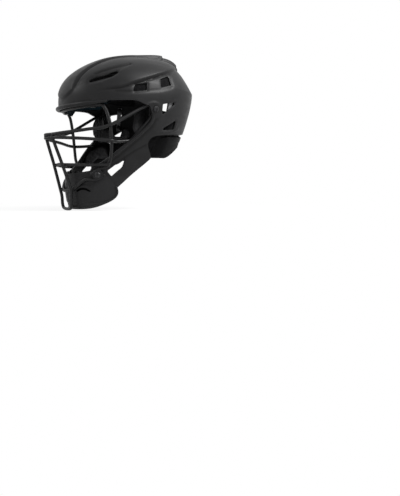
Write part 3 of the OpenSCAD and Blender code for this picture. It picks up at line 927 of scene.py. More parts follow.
@dataclass
class FrontShell:
    """The one-piece vented shell with its jaw arms."""

    panel_w: float = 62.0
    panel_rise: float = 4.4
    panel_end: float = 96.0
    panel_edge: float = 2.8
    panel_front: Spot = (3.0, 8.0)
    panel_arch: float = 12.0
    panel_grow: Spot = (-100.0, 40.0)
    panel_groove: float = 1.9
    panel_groove_z: Spot = (14.0, 26.0)
    tail_rise: float = 3.5
    tail_start: float = 10.0
    tail_end: float = 62.0
    step_z: float = 41.0
    step_slope: float = 0.38
    step_bend: float = 8.0
    step_rise: float = 2.8
    step_front: Spot = (-95.0, -30.0)
    step_back: Spot = (75.0, 55.0)
    step_groove: float = 1.6
    step_groove_front: Spot = (-95.0, -60.0)
    relief_back: float = 20.0
    vent_sink: float = 1.1
    vent_fade: float = 3.6
    vent_r: float = 2.0
    lip_z: float = -9.0
    lip_bow: float = 5.0
    lip_taper: float = 0.45
    lip_r: float = 3.6
    lip_out: float = 2.4
    lip_reach: float = 50.0
    rim_r: float = 2.8
    rim_sunk: float = 1.0
    low: float = -172.0
    waist: float = 0.52
    cols: int = 300
    rows: int = 187
    pole_rows: int = 6
    face: tuple[Spot, ...] = (
        (-300, -9), (-125, -9), (-85, -3), (-29, 0), (-16, -6), (-5, -8), (2, -24), (-2, -36), (-24, -58),
        (-40, -72), (-67, -98), (-80, -108), (-92, -116), (-92, -138), (-66, -158), (-66, -300), (-300, -300),
    )
    under: tuple[Spot, ...] = (
        (-70, -168), (12, -98), (13, -94), (-1, -72), (4, -62), (14, -57), (80, -50), (110, -46), (300, -46),
        (300, -300), (-70, -300),
    )
    vents: tuple[tuple[Spot, ...], ...] = (
        ((-94, 30), (-87, 35), (-55, 46), (-66, 39)),
        ((-33, 16), (-29, 24), (-10, 29), (-12, 19)),
        ((22, 39), (39, 46), (40, 33), (20, 27)),
        ((23, -18), (23, -5), (46, 0)),
        ((29, -45), (54, -31), (52, -42)),
        ((-62, -120), (-39, -100), (-42, -112), (-57, -126)),
    )
    rear_vent: tuple[Spot, ...] = ((31, 6), (34, 26), (57, 28), (53, 12))
    rim: tuple[Spot, ...] = (
        (4.4, -22), (2.6, -32), (-4, -41.5), (-22.2, -59.8), (-38.3, -73.8), (-65.5, -99.8), (-77, -109),
    )
    relief_forms: tuple[Line | Hollow, ...] = (
        Hollow(
            ((-98, 26), (-94, 36), (-76, 46.5), (-58, 53), (-26, 62), (-47, 50), (-59, 40), (-82, 28.5)),
            depth=1.7,
            edge=2.6,
        ),
        Hollow(
            ((-36, 12), (-34, 28), (-14, 35), (15, 46), (46, 56), (46, 31), (41, 28.5), (15, 20.4), (-6, 17)),
            depth=1.0,
        ),
        Line(((-86, 42.5), (-76, 47.3), (-58, 53.5), (-26, 62.5)), 1.7, -1.2),
        Line(((-63, 13.5), (-34, 12.5), (-6, 16), (15, 19.5), (41, 27.5)), 2.2, -0.8),
        Line(((-11.4, -8.8), (-7.1, -5.6), (0.6, -3), (9.1, -3.3), (13.6, -8)), 2.2, 1.2),
        Line(((9.5, -30), (1.5, -44.5), (-17, -63.5), (-33, -78), (-60, -103.5)), 2.4, -1.5),
        Line(((-3.7, -74.4), (-23.2, -85.1), (-42, -98.6), (-60.2, -111)), 2.4, -1.1),
        Line(((27, -50), (44, -50), (66, -42)), 2.2, 1.0),
    )

    def over_step(self, y: Array, z: Array) -> Array:
        """Height over the line of the side step, which is bent up at its front."""
        return z - self.step_z - self.step_slope * y - self.step_bend * ease(-48, -92, y)

    def relief(self, p: Array) -> Array:
        """Height of the moulded panel, step, lines and fields over the surface.

        Args:
            p: Points of the smooth surface.

        Returns:
            One height per point.
        """
        x, y, z = np.abs(p[:, 0]), p[:, 1], p[:, 2]
        half = self.panel_w / 2
        panel = self.panel_rise * ease(half + self.panel_edge, half - self.panel_edge, x)
        panel *= ease(self.panel_end + 6, self.panel_end, y)
        panel *= ease(*self.panel_front, z - self.panel_arch * (x / half) ** 2)
        panel *= 0.5 + 0.4 * ease(*self.panel_grow, y) + 0.55 * ease(30, self.panel_end, y)
        tail = ease(half + 2, half - 2, x) * ease(self.tail_start, self.tail_end, y)
        panel += self.tail_rise * tail * ease(self.tail_end + 3, self.tail_end, y)
        beside = bell(x - half - 3.6, 2.5) * ease(*self.panel_groove_z, z) * ease(82, 58, y)
        over = self.over_step(y, z)
        edge = self.step_rise * ease(-2, 2, over)
        groove = self.step_groove * bell(over + 2.4, 1.8) * ease(*self.step_groove_front, y)
        step = edge * ease(*self.step_front, y) - groove
        sides = step * ease(*self.step_back, y) + edge * ease(*self.step_back[::-1], y)
        total = panel + sides - self.panel_groove * beside
        for form in self.relief_forms:
            total = total + form.rise(p[:, 1:])
        for vent in self.vents:
            away = near_path(p[:, 1:], [*vent, vent[0]])
            total = total - self.vent_sink * np.clip(1 - (away - self.vent_r) / self.vent_fade, 0, 1) ** 2
        return total

    def depth(self, p: Array) -> Array:
        """Share, from 0 to 1, of painted shade at each point of the surface, by how deep it lies in a moulded
        valley.

        Args:
            p: Points of the smooth surface.

        Returns:
            One share per point.
        """
        x, y, z = np.abs(p[:, 0]), p[:, 1], p[:, 2]
        over = self.over_step(y, z)
        total = 0.85 * bell(over + 1.6, 1.3) * ease(*self.step_groove_front, y) * ease(70, 30, y)
        beside = bell(x - self.panel_w / 2 - 3.0, 2.0) * ease(*self.panel_groove_z, z) * ease(80, 55, y)
        total = np.maximum(total, 0.65 * beside)
        for form in self.relief_forms:
            if isinstance(form, Line) and form.height < 0:
                total = np.maximum(total, 0.75 * (form.rise(p[:, 1:]) / form.height) ** 1.8)
        return total

    def surface(self, u: Array, v: Array) -> Array:
        """Points of the smooth surface for places across and up, in close rows round its top.

        Args:
            u: Places across, from 0 to 1.
            v: Places up, from 0 to 1.

        Returns:
            Points, one per row.
        """
        away = 1 - np.clip((v - self.waist) / (1 - self.waist), 0, 1)
        row = 1 / ((1 - self.waist) * self.rows)
        near = self.pole_rows * row
        spread = 1 - near + row
        up = 1 - np.where(away > near, (away - near + row) / spread, row / spread * (away / near) ** 3.5)
        rise = span(FORM.wide_z, FORM.crown_h, np.sin(up * math.pi / 2) ** 0.9)
        arms = span(self.low, FORM.wide_z, v / self.waist)
        return FORM.skin(360 * u, np.where(v < self.waist, arms, rise))

    def place(self, u: Array, v: Array) -> Array:
        """Points of the shell's outer face for places across and up."""
        p = self.surface(u, v)
        return p + self.relief(p)[:, None] * unit(p - (0, FORM.crown_back - self.relief_back, 0))

    def build(self) -> None:
        """Builds the vented shell, the rolled lip of its brim and the rim of its face opening."""
        bm = formed_grid(self.cols, self.rows, self.place)
        bmesh.ops.remove_doubles(bm, verts=list(bm.verts), dist=2e-6)
        cuts = [(soften(self.face), side_view), (soften(self.under), side_view)]
        cuts += [(swell(vent, self.vent_r), side_view) for vent in self.vents]
        for side in (-1, 1):
            cuts.append((swell([(side * x, z) for x, z in self.rear_vent], self.vent_r), rear_view))
        cut_through(bm, cuts)
        # The valley attribute holds the share of painted shade that the shell finish puts in the moulded
        # grooves.
        uv, valley = bm.loops.layers.uv["places"], bm.verts.layers.float.new("valley")
        verts = [vert for vert in bm.verts if vert.link_loops]
        spots = np.array([vert.link_loops[0][uv].uv for vert in verts])
        for vert, depth in zip(verts, self.depth(self.surface(spots[:, 0], spots[:, 1])), strict=True):
            vert[valley] = depth
        shell = new_object("shell", bm)
        add_wall(shell, WALL)
        dress(shell, SHELL_FINISH, Body.MASK, "shell", "front_shell")
        a = np.linspace(-self.lip_reach, self.lip_reach, 72)
        out = self.lip_out * ease(self.lip_reach, 0, np.abs(a)) - 0.4
        radii = self.lip_r * (1 - self.lip_taper * ease(30, self.lip_reach, np.abs(a)))
        path = FORM.skin(a, self.lip_z + self.lip_bow * (a / self.lip_reach) ** 2, out)
        dress(sweep("brim_lip", path, radii, 18), SHELL_FINISH, Body.MASK, "shell")
        flat = smooth_path(self.rim, 6)
        ends = np.minimum(np.arange(len(flat)), np.arange(len(flat))[::-1])
        for name, side in (("left", 1), ("right", -1)):
            path = (FORM.side_point(flat[:, 0], flat[:, 1]) - (self.rim_sunk, 0, 0)) * (side, 1, 1)
            rim = sweep(f"face_rim_{name}", path, self.rim_r * (0.5 + 0.5 * ease(0, 9, ends)), 14)
            dress(rim, SHELL_FINISH, Body.MASK, "shell")


@dataclass
class ChinGuard:
    """The moulded guard over the chin, with its arched vents and rolled edge."""

    drop: float = 185.0
    top: float = 124.0
    wide: float = 71.0
    wide_v: float = 0.35
    low_in: float = 23.0
    high_in: float = 7.5
    low_bow: float = 5.0
    high_bow: float = 9.0
    brow_rise: float = 0.9
    corner_rise: float = 0.9
    line_sink: float = 0.6
    edge_r: float = 2.1
    arch: tuple[Spot, ...] = ((24, -154.5), (28.5, -151.5), (33, -150.5), (38, -151.5), (42.5, -154.5))
    vent_r: float = 2.0

    def edge(self, v: Array) -> Array:
        """Bearing of the side edge at a place up the guard.

        Args:
            v: Places up, from 0 to 1.

        Returns:
            The bearings.
        """
        low = self.wide - self.low_in * (np.maximum(0, self.wide_v - v) / self.wide_v) ** 2.2
        high = self.wide - self.high_in * (1 - np.cos(math.pi * (v - self.wide_v) / (1 - self.wide_v)))
        return np.where(v < self.wide_v, low, high)

    def height(self, u: Array, v: Array) -> Array:
        """Height at a place across, from -1 to 1, and up."""
        low = -self.drop + self.low_bow * u**4
        return span(low, -self.top + self.high_bow * u**2, v)

    def place(self, u: Array, v: Array) -> Array:
        """Points of the guard's outer face, with a brow over each vent and a line inside its edge.

        Args:
            u: Places across, from 0 to 1.
            v: Places up, from 0 to 1.

        Returns:
            Points, one per row.
        """
        across, v = 2 * u - 1, v**1.2
        a, z = across * self.edge(v), self.height(across, v)
        brow = bell(near_path(np.stack([np.abs(a), z], axis=1), [(p, q + 5) for p, q in self.arch]), 2.4)
        corner = bell(np.abs(a) - 21, 4.5) * ease(-180, -172, z) * ease(-130, -140, z)
        line = bell(z + self.drop - self.low_bow * across**4 - 8.5, 1.8)
        relief = self.brow_rise * brow + self.corner_rise * corner - self.line_sink * line
        return FORM.skin(a, z, CHIN_GAP + CHIN_WALL + relief)

    def build(self) -> None:
        """Builds the guard and its rolled edge."""
        bm = formed_grid(190, 84, self.place)
        cuts = []
        for side in (-1, 1):
            middle = [FORM.skin(side * a, z)[::2] for a, z in self.arch]
            upper = [(x, z + self.vent_r) for x, z in middle]
            lower = [(x, z - self.vent_r) for x, z in middle[::-1]]
            far, near = (
                (x + way * side * self.vent_r, z - 0.5) for (x, z), way in ((middle[-1], 1), (middle[0], -1))
            )
            cuts.append((soften([*upper, far, *lower, near], 1), front_view))
        cut_through(bm, cuts)
        guard = new_object("chin_guard_shell", bm)
        add_wall(guard, CHIN_WALL)
        dress(guard, GUARD_FINISH, Body.MASK, "chin_guard", "chin_guard")
        v = np.linspace(0.5, 0, 20)[:-1]
        u = np.linspace(1, -1, 60)
        u, v = np.concatenate([np.ones(19), u, -np.ones(19)]), np.concatenate([v, np.zeros(60), v[::-1]])
        path = FORM.skin(u * self.edge(v), self.height(u, v), CHIN_GAP + CHIN_WALL - 0.6)
        dress(sweep("chin_guard_edge", path, self.edge_r, 14), GUARD_FINISH, Body.MASK, "chin_guard")


@dataclass
class RearPlate:
    """The plate behind the head, which slides on two screws."""

    start: float = 95.0
    start_low: float = 97.0
    flush: float = 0.8
    wing_in: float = 6.0
    low_z: float = -71.0
    wing_drop: float = 22.0
    high_z: float = -52.0
    back_rise: float = 17.0
    slot_rise: float = 19.0
    wing_fall: float = 7.0
    flare_z: float = -48.0
    flare_fall: float = 8.0
    flare_h: float = 4.0
    line_z: float = 7.0
    line_sink: float = 0.6
    slide_x: float = 22.0
    slot: tuple[float, float] = (-32.0, -18.4)
    slot_r: float = 3.1

    def low(self, a: Array) -> Array:
        """Height of the lower edge at a bearing."""
        return self.low_z - self.wing_drop * ease(30, 64, np.abs(a - 180))

    def high(self, a: Array) -> Array:
        """Height of the upper edge at a bearing.

        Args:
            a: Bearings.

        Returns:
            The heights.
        """
        round_a = np.abs(a - 180)
        middle = self.back_rise * ease(61, 53, round_a) + self.slot_rise * ease(30, 22, round_a)
        return self.high_z + middle - self.wing_fall * ease(74, 83, round_a)

    def level(self, a: Array, z: Array) -> Array:
        """Distance of the outer face outside the moulded surface: flared below, with its wings drawn in.

        Args:
            a: Bearings.
            z: Heights.

        Returns:
            The distances.
        """
        round_a = np.abs(a - 180)
        top = self.flare_z - self.flare_fall * ease(5, 85, round_a)
        flare = (-PLATE_O - self.flush) * ease(top, top - self.flare_h, z) * ease(78, 68, round_a)
        return PLATE_O + flare - self.wing_in * ease(66, 81, round_a)

    def place(self, u: Array, v: Array) -> Array:
        """Points of the plate's outer face, with a pressed line along its lower edge.

        Args:
            u: Places across, from 0 to 1.
            v: Places up, from 0 to 1.

        Returns:
            Points, one per row.
        """
        start = span(self.start_low, self.start, v)
        a = span(start, 360 - start, u)
        z = span(self.low(a), self.high(a), v)
        line = self.line_sink * bell(z - self.low(a) - self.line_z, 1.6)
        return FORM.skin(a, z, self.level(a, z) - line)

    def build(self) -> None:
        """Builds the slotted plate and its rolled lower edge."""
        bm = formed_grid(230, 46, self.place)
        cuts = []
        low, high = self.slot
        for x in (-self.slide_x, self.slide_x):
            slot = [(x - 0.1, low), (x + 0.1, low), (x + 0.1, high), (x - 0.1, high)]
            cuts.append((swell(slot, self.slot_r), rear_view))
        cut_through(bm, cuts)
        plate = new_object("rear_plate_shell", bm)
        add_wall(plate, PLATE_WALL)
        dress(plate, PLATE_FINISH, Body.PLATE, "rear_plate", "rear_plate")
        a = np.linspace(self.start_low, 360 - self.start_low, 90)
        path = FORM.skin(a, self.low(a), self.level(a, self.low(a)) - PLATE_WALL / 2)
        edge = sweep("rear_plate_edge", path, PLATE_WALL / 2 + 0.5, 12)
        dress(edge, PLATE_FINISH, Body.PLATE, "rear_plate")


@dataclass
class Cage:
    """The bent and welded wire cage over the face."""

    leg_half: float = 21.0
    nose: float = -153.0
    nose_z: float = -57.5
    screw_d: float = 5.0
    weld_r: float = 3.1
    weld_reach: float = 1.2
    jaw_at: Spot = (48.0, -124.0)
    jaw_way: Point = (-18.0, -17.0, -13.0)

    def jaw_spot(self, across: float, along: float) -> Array:
        """A point on a wire in the jaw clip.

        Args:
            across: Distance from the screw, square to the wire.
            along: Distance from the screw, along the wire.

        Returns:
            The point.
        """
        level = CHIN_GAP + CHIN_WALL + 3 * FIT + 3 + FIT + WIRE_D / 2
        out = FORM.outward(*self.jaw_at)
        way = np.array(self.jaw_way)
        way = unit(way - (way @ out) * out)
        beside = np.cross(way, out)
        return FORM.over(*self.jaw_at, level) + across * beside * np.sign(beside[2]) + along * way

    def wires(self) -> dict[str, list]:
        """Half paths of the wires, from the wearer's left to the middle.

        Returns:
            Points of each wire, by its node.
        """
        beside = self.screw_d / 2 + FIT + WIRE_D / 2
        temple = -WALL - SEAT - WIRE_D / 2
        brow = temple - 0.4
        under_nose = self.nose_z - WIRE_D - FIT
        leg, nose, nose_z, chin_o = self.leg_half, self.nose, self.nose_z, CHIN_GAP + CHIN_WALL
        seat = ((92, -19.5), (88.5, -25), (86, -36), (80, -55), (75.5, -67.5), (72.5, -70))
        return {
            "brow_wire": [
                *(self.jaw_spot(beside, s) for s in (10, 0, -9)), (66.2, -68.4, -109), (75, -67, -92),
                (78.2, -67.4, -69), (79.2, -69.2, -44), (76, -74.5, -20), (73, -79.5, -11),
                *(FORM.skin(a, z, brow) for a, z in ((45, -9), (36, -9.5), (26, -11), (13, -12), (0, -12.5))),
            ],
            "upper_eye_bar": [
                FORM.over(94, -4, temple), FORM.over(87, -5.5, temple), (95.2, -15, -11), (84, -73.4, -43.6),
                (60, -104, -50.5), (32, -135, -55.5), (14, nose + 6, nose_z), (0, nose, nose_z - 0.5),
            ],
            "lower_eye_bar": [
                *(FORM.over(a, z, temple) for a, z in seat),
                (79.5, -60, -70), (84.9, -73.6, -69), (60, -103, -66), (32, -135, -64),
                (14, nose + 6, under_nose), (0, nose, under_nose - 0.5),
            ],
            "mouth_bar": [
                (72.6, -69.6, -109.6), (61.5, -84.6, -110), (50, -99, -110), (leg - 2.4, -126.2, -109),
                (0, -130, -108),
            ],
            "chin_bar": [
                *(self.jaw_spot(-beside, s) for s in (-9, 0, 9)), (42.5, -101.5, -135),
                (leg + 2.5, -114.2, -150), (0, -FORM.chin_reach - chin_o - WIRE_D / 2 - 1.2, -154),
            ],
            "centre_loop": [
                (14, nose + 7, nose_z - 1.5 * WIRE_D - FIT), (15.5, nose + 11, -79),
                (leg - 2.4, -132.4, -109), (leg + 2.5, -120.6, -150), (leg, -118.5, -164),
                (leg - 1, -118, -178), (leg - 6, -117.5, -185), (0, -117.5, -186.5),
            ],
        }

    def build(self) -> None:
        """Bends each wire and beads the welds where two wires cross."""
        paths = {name: smooth_path(mirrored(half), 9) for name, half in self.wires().items()}
        for name, path in paths.items():
            dress(sweep(f"{name}_rod", path, WIRE_D / 2, 16), WIRE_FINISH, Body.MASK, "cage_wire", name)
        bm = bmesh.new()
        for spot in self.crossings(list(paths.values())):
            beaded = bmesh.ops.create_icosphere(bm, subdivisions=3, radius=self.weld_r * MM)["verts"]
            bmesh.ops.translate(bm, verts=beaded, vec=Vector(spot * MM))
        dress(new_object("cage_welds", bm), WIRE_FINISH, Body.MASK, "cage_wire")

    def crossings(self, paths: Sequence[Array]) -> list[Array]:
        """Points where two wires touch, each between the two.

        Args:
            paths: The paths of the wires.

        Returns:
            One point for each crossing.
        """
        found: list[Array] = []
        for i, first in enumerate(paths):
            for second in paths[i + 1 :]:
                away = np.linalg.norm(first[:, None] - second[None], axis=2)
                order = np.argsort(away, axis=None)
                for flat in order[: np.count_nonzero(away < WIRE_D + self.weld_reach)]:
                    a, b = np.unravel_index(flat, away.shape)
                    spot = (first[a] + second[b]) / 2
                    if all(np.linalg.norm(spot - other) > 4 * WIRE_D for other in found):
                        found.append(spot)
        return found


def crowned(*places: Array) -> Array:
    """Share of a pad's thickness at places across it, from 0 to 1."""
    return 0.3 + 0.7 * np.sqrt(math.prod(1 - np.abs(2 * t - 1) ** 3 for t in places))


@dataclass
class Pad:
    """A liner pad: cloth over foam against the inside of a wall."""

    node: str
    o: float
    thickness: float
    spots: Callable[[Array, Array], Places]
    finish: Finish
    slot: str = "liner"
    body: Body = Body.MASK
    flip: bool = False
    voxel: float = 4.5
    cap: float = 3.0
    ribs: tuple[float, ...] = ()
    piping_r: float = 0.9
    rib_r: float = 1.3
    rib_depth: float = 1.06
    plain_share: float = 0.94
    held: float = 3.0
    pressure: float = 4.0
    frames: int = 20

    def face(self, u: Array, v: Array, depth: float) -> Array:
        """Points of the pad, from its seat at depth 0 to its crowned face at depth 1.

        Args:
            u: Places across, from 0 to 1.
            v: Places up, from 0 to 1.
            depth: Share of the thickness.

        Returns:
            Points, one per row.
        """
        a, z, off, share = self.spots(u, v)
        rise = depth * self.plain_share * self.thickness * share * crowned(u, v)
        p = FORM.skin(a, z, self.o - off - rise)
        return p * ((-1, 1, 1) if self.flip else (1, 1, 1))

    def block(self) -> Piece:
        """The pad's plain crowned form.

        Returns:
            The piece, before it is puffed.
        """
        bm = formed_grid(36, 14, lambda u, v: self.face(u, v, 0.0))
        uv = bm.loops.layers.uv["places"]
        grown = bmesh.ops.extrude_face_region(bm, geom=list(bm.faces), use_keep_orig=True)["geom"]
        top = {}
        for f in (g for g in grown if isinstance(g, bmesh.types.BMFace)):
            for loop in f.loops:
                top[loop.vert] = loop[uv].uv.copy()
        places = np.array(list(top.values()))
        for vert, co in zip(top, self.face(places[:, 0], places[:, 1], 1.0) * MM, strict=True):
            vert.co = co
        turn_outwards(bm)
        return new_object(f"{self.node}_cloth", bm)

    def rim(self) -> Array:
        """Points round the pad's seam.

        Returns:
            Points, one per row.
        """
        t = np.linspace(0, 1, 24, endpoint=False)
        one, nil = np.ones_like(t), np.zeros_like(t)
        u = np.concatenate([t, one, 1 - t, nil])
        v = np.concatenate([nil, t, one, 1 - t])
        return self.face(u, v, 1.0)

    def puff(self, piece: Piece) -> None:
        """Swells a plain pad's cloth over its foam by simulation, with its seat held.

        Args:
            piece: The plain form of the pad.
        """
        seat = KDTree(2000)
        u, v = np.meshgrid(np.linspace(0, 1, 50), np.linspace(0, 1, 40))
        for i, p in enumerate(self.face(u.ravel(), v.ravel(), 0.0) * MM):
            seat.insert(p, i)
        seat.balance()
        bpy.context.view_layer.objects.active = piece
        piece.select_set(True)
        piece.data.remesh_voxel_size = self.voxel * MM
        bpy.ops.object.voxel_remesh()
        held = piece.vertex_groups.new(name="held")
        near = [w.index for w in piece.data.vertices if seat.find(w.co)[2] < self.held * MM]
        held.add(near, 1.0, "REPLACE")
        start = np.array([w.co for w in piece.data.vertices])
        cloth = piece.modifiers.new("puff", "CLOTH")
        cloth.settings.quality, cloth.settings.mass = 5, 0.2
        cloth.settings.use_pressure, cloth.settings.uniform_pressure_force = True, self.pressure
        cloth.settings.effector_weights.gravity = 0.0
        cloth.settings.vertex_group_mass = "held"
        cloth.point_cache.frame_start, cloth.point_cache.frame_end = 1, self.frames
        for step in range(1, self.frames + 1):
            bpy.context.scene.frame_set(step)
        shaped = piece.evaluated_get(bpy.context.evaluated_depsgraph_get())
        move = np.array([w.co for w in shaped.data.vertices]) - start
        far = np.linalg.norm(move, axis=1, keepdims=True)
        move *= np.minimum(1.0, self.cap * MM / np.maximum(far, 1e-9))
        piece.modifiers.remove(cloth)
        for vert, co in zip(piece.data.vertices, start + move, strict=True):
            vert.co = co
        piece.vertex_groups.clear()
        bpy.context.scene.frame_set(1)
        for poly in piece.data.polygons:
            poly.use_smooth = True

    def build(self) -> None:
        """Builds the pad and the piping along its seam."""
        piece = self.block()
        self.puff(piece)
        fine = piece.modifiers.new("fine", "SUBSURF")
        fine.levels = fine.render_levels = 1
        dress(piece, self.finish, self.body, self.slot, self.node)
        piping = sweep(f"{self.node}_piping", self.rim(), self.piping_r, 8, closed=True)
        dress(piping, self.finish, self.body, self.slot)
        up = np.linspace(0.06, 0.94, 26)
        for i, across in enumerate(self.ribs):
            path = self.face(np.full_like(up, across), up, self.rib_depth)
            rib = sweep(f"{self.node}_rib_{i + 1}", path, self.rib_r, 8)
            dress(rib, self.finish, self.body, self.slot)


@dataclass
class Liner:
    """All pads of the liner and the two ear straps."""

    pad_t: float = 16.0
    gap: float = 0.9
    brow_half: float = 80.0
    brow_z: Spot = (-15.0, 28.0)
    brow_thin: float = 0.45
    crown_half: float = 118.0
    crown_drop: Spot = (50.0, 16.0)
    rear_crown_a: Spot = (163.0, 197.0)
    rear_crown_z: Spot = (2.0, 60.0)
    chin_half: float = 44.0
    chin_in: float = 12.0
    chin_z: Spot = (-172.0, -134.0)
    jaw_a: Spot = (62.0, 90.0)
    jaw_w: float = 22.0
    jaw_skirt: float = 7.0
    jaw_thin: float = 0.55
    nape_a: Spot = (132.0, 228.0)
    nape_z: Spot = (-76.0, -56.0)
    side_a: Spot = (75.0, 117.0)
    side_low: float = -58.0
    side_high: float = -31.0
    strap_w: float = 9.0
    strap_t: float = 1.6
    strap_a: float = 103.967
    strap_z: tuple[float, float] = (8.0, -28.0)
    strap_end: float = 6.0
    mm_per_degree: float = 2.15
    ribs: tuple[float, ...] = (0.05, 0.1, 0.16)

    def rear_crown(self, u: Array, v: Array) -> Places:
        """Places of the rear crown pad."""
        return span(*self.rear_crown_a, u), span(*self.rear_crown_z, v), 0.0, 1.0

    def brow(self, u: Array, v: Array) -> Places:
        """Places of the brow pad, which hangs below the brim behind the brow wire and its clips.

        Args:
            u: Places across, from 0 to 1.
            v: Places up, from 0 to 1.

        Returns:
            Bearings, heights, distances off the seat and shares of the thickness.
        """
        a = span(-self.brow_half, self.brow_half, u)
        low = self.brow_z[0] + 14 * ease(41, 50, np.abs(a)) + 5 * ease(60, 72, np.abs(a))
        z = span(low, self.brow_z[1], v)
        hang = ease(9, 3, z)
        return a, z, (WIRE_D + 3.8) * hang, 1 - self.brow_thin * hang

    def crown(self, u: Array, v: Array) -> Places:
        """Places of the crown pad, a horseshoe that comes down behind the side vents.

        Args:
            u: Places across, from 0 to 1.
            v: Places up, from 0 to 1.

        Returns:
            Bearings, heights, distances off the seat and shares of the thickness.
        """
        a = span(-self.crown_half, self.crown_half, u)
        low = FORM.crown_h - self.crown_drop[0] - 16 * ease(70, 95, np.abs(a)) - 5 * ease(78, 88, np.abs(a))
        high = FORM.crown_h - self.crown_drop[1] - 12 * ease(60, 95, np.abs(a))
        return a, span(low, high, v), 0.0, 1.0

    def chin(self, u: Array, v: Array) -> Places:
        """Places of the chin pad, narrower above where the jaw arms end."""
        half = self.chin_half - self.chin_in * ease(0.35, 0.8, v)
        return (2 * u - 1) * half, span(*self.chin_z, v), 0.0, 1.0

    def jaw(self, u: Array, v: Array) -> Places:
        """Places of a jaw pad, slanted along the arm, with a round front end and a thin skirt behind the arm.

        Args:
            u: Places across, from 0 to 1.
            v: Places up, from 0 to 1.

        Returns:
            Bearings, heights, distances off the seat and shares of the thickness.
        """
        end = np.sqrt(np.maximum(0.08, 1 - (np.maximum(0, 0.3 - u) / 0.3) ** 2))
        middle = -104 + 24 * np.minimum(1, u / 0.57) + 5 * ease(0.57, 1, u) + 2.5 * ease(0.8, 1, u) * v
        start, stop = self.jaw_a
        a = span(start, stop, u) + self.jaw_skirt * ease(0.75, 1, u)
        body = np.minimum(1, (a - start) / (stop - start))
        share = crowned(body) / crowned(u) * (1 - self.jaw_thin * ease(89, 92, a))
        return a, middle + (self.jaw_w + 8 * ease(0.5, 1, u)) * (v - 0.5) * end, 0.0, share

    def nape(self, u: Array, v: Array) -> Places:
        """Places of the nape pad, which follows the rear plate out."""
        a, z = span(*self.nape_a, u), span(*self.nape_z, v)
        return a, z, PLATE_O - RearPlate().level(a, z), 1.0

    def side(self, u: Array, v: Array) -> Places:
        """Places of a side pad: it shows in the face opening, and its rear lobe lies behind the low vent.

        Args:
            u: Places across, from 0 to 1.
            v: Places up, from 0 to 1.

        Returns:
            Bearings, heights, distances off the seat and shares of the thickness.
        """
        a = span(*self.side_a, u)
        low = self.side_low + 6 * ease(90, 96, a) + 2 * ease(99, 105, a)
        high = self.side_high + 22 * ease(86, 81, a) - 15 * ease(96, 99.5, a) + 19 * ease(106, 110, a)
        front, rear = np.maximum(0, 0.16 - u) / 0.16, np.maximum(0, u - 0.86) / 0.14
        end = np.sqrt(np.maximum(0.2, 1 - front**2 - rear**2))
        z = (low + high) / 2 + (high - low) * (v - 0.5) * end
        return a, z, (WIRE_D + 2 * FIT + 3 * ease(-34, -22, z)) * ease(96, 92, a), 1.0

    def pads(self) -> list[Pad]:
        """The pads of the liner.

        Returns:
            The pads, in the order of building.
        """
        o, t = -WALL - self.gap, self.pad_t
        pads = [
            Pad("brow_pad", o, t, self.brow, BROW_FINISH, "brow_pad"),
            Pad("crown_pad", o, t, self.crown, LINER_FINISH, voxel=6.0),
            Pad("rear_crown_pad", o - 1.6, t, self.rear_crown, LINER_FINISH, voxel=5.0),
            Pad("chin_pad", -SEAT, t, self.chin, LINER_FINISH),
            Pad("nape_pad", PLATE_O - PLATE_WALL - 1.4, t * 0.7, self.nape, LINER_FINISH, body=Body.PLATE),
        ]
        for name, flip in (("left", False), ("right", True)):
            cheek = {"flip": flip, "voxel": 4.0}
            pads += [
                Pad(f"side_pad_{name}", o, t * 0.75, self.side, CHEEK_FINISH, ribs=self.ribs, **cheek),
                Pad(f"jaw_pad_{name}", o, t * 0.75, self.jaw, JAW_FINISH, **cheek),
            ]
        return pads

    def strap(self, name: str, side: int) -> None:
        """Builds one ear strap of webbing.

        Args:
            name: Its side of the mask, in words.
            side: Its side, as 1 or -1 along x.
        """
        low, high = self.strap_z[1] - self.strap_end, self.strap_z[0] + self.strap_end
        reach = self.strap_w / 2 / self.mm_per_degree

        def place(u: Array, v: Array) -> Array:
            """Points of the strap's outer face."""
            p = FORM.skin(self.strap_a + (2 * u - 1) * reach, span(low, high, v), -WALL - self.gap)
            return p * (side, 1, 1)

        bm = formed_grid(6, 26, place)
        turn_outwards(bm)
        if sum(f.normal.x * side for f in bm.faces) < 0:
            bmesh.ops.reverse_faces(bm, faces=list(bm.faces))
        strap = new_object(f"ear_strap_{name}_web", bm)
        add_wall(strap, self.strap_t, 0.4)
        dress(strap, STRAP_FINISH, Body.MASK, "webbing", f"ear_strap_{name}")

    def build(self) -> None:
        """Builds the pads and the ear straps."""
        for pad in self.pads():
            pad.build()
        self.strap("left", 1)
        self.strap("right", -1)


@dataclass
class Hardware:
    """The screws, nuts, rivets and clips, which keep their own solids."""

    steel: tuple[str, ...] = ("clip_screws", "clip_nuts", "slide_screws", "slide_nuts")
    nylon: tuple[str, ...] = (
        "temple_clip_left", "temple_clip_right", "jaw_clip_left", "jaw_clip_right", "brow_clips",
        "chin_rivets", "strap_rivets",
    )

    def build(self) -> None:
        """Gives each solid its finish."""
        for names, finish in ((self.steel, STEEL_FINISH), (self.nylon, CLIP_FINISH)):
            for name in names:
                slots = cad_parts[name].data.materials
                slots.clear()
                slots.append(finish)
                LOG.info("%s: own solid", name)


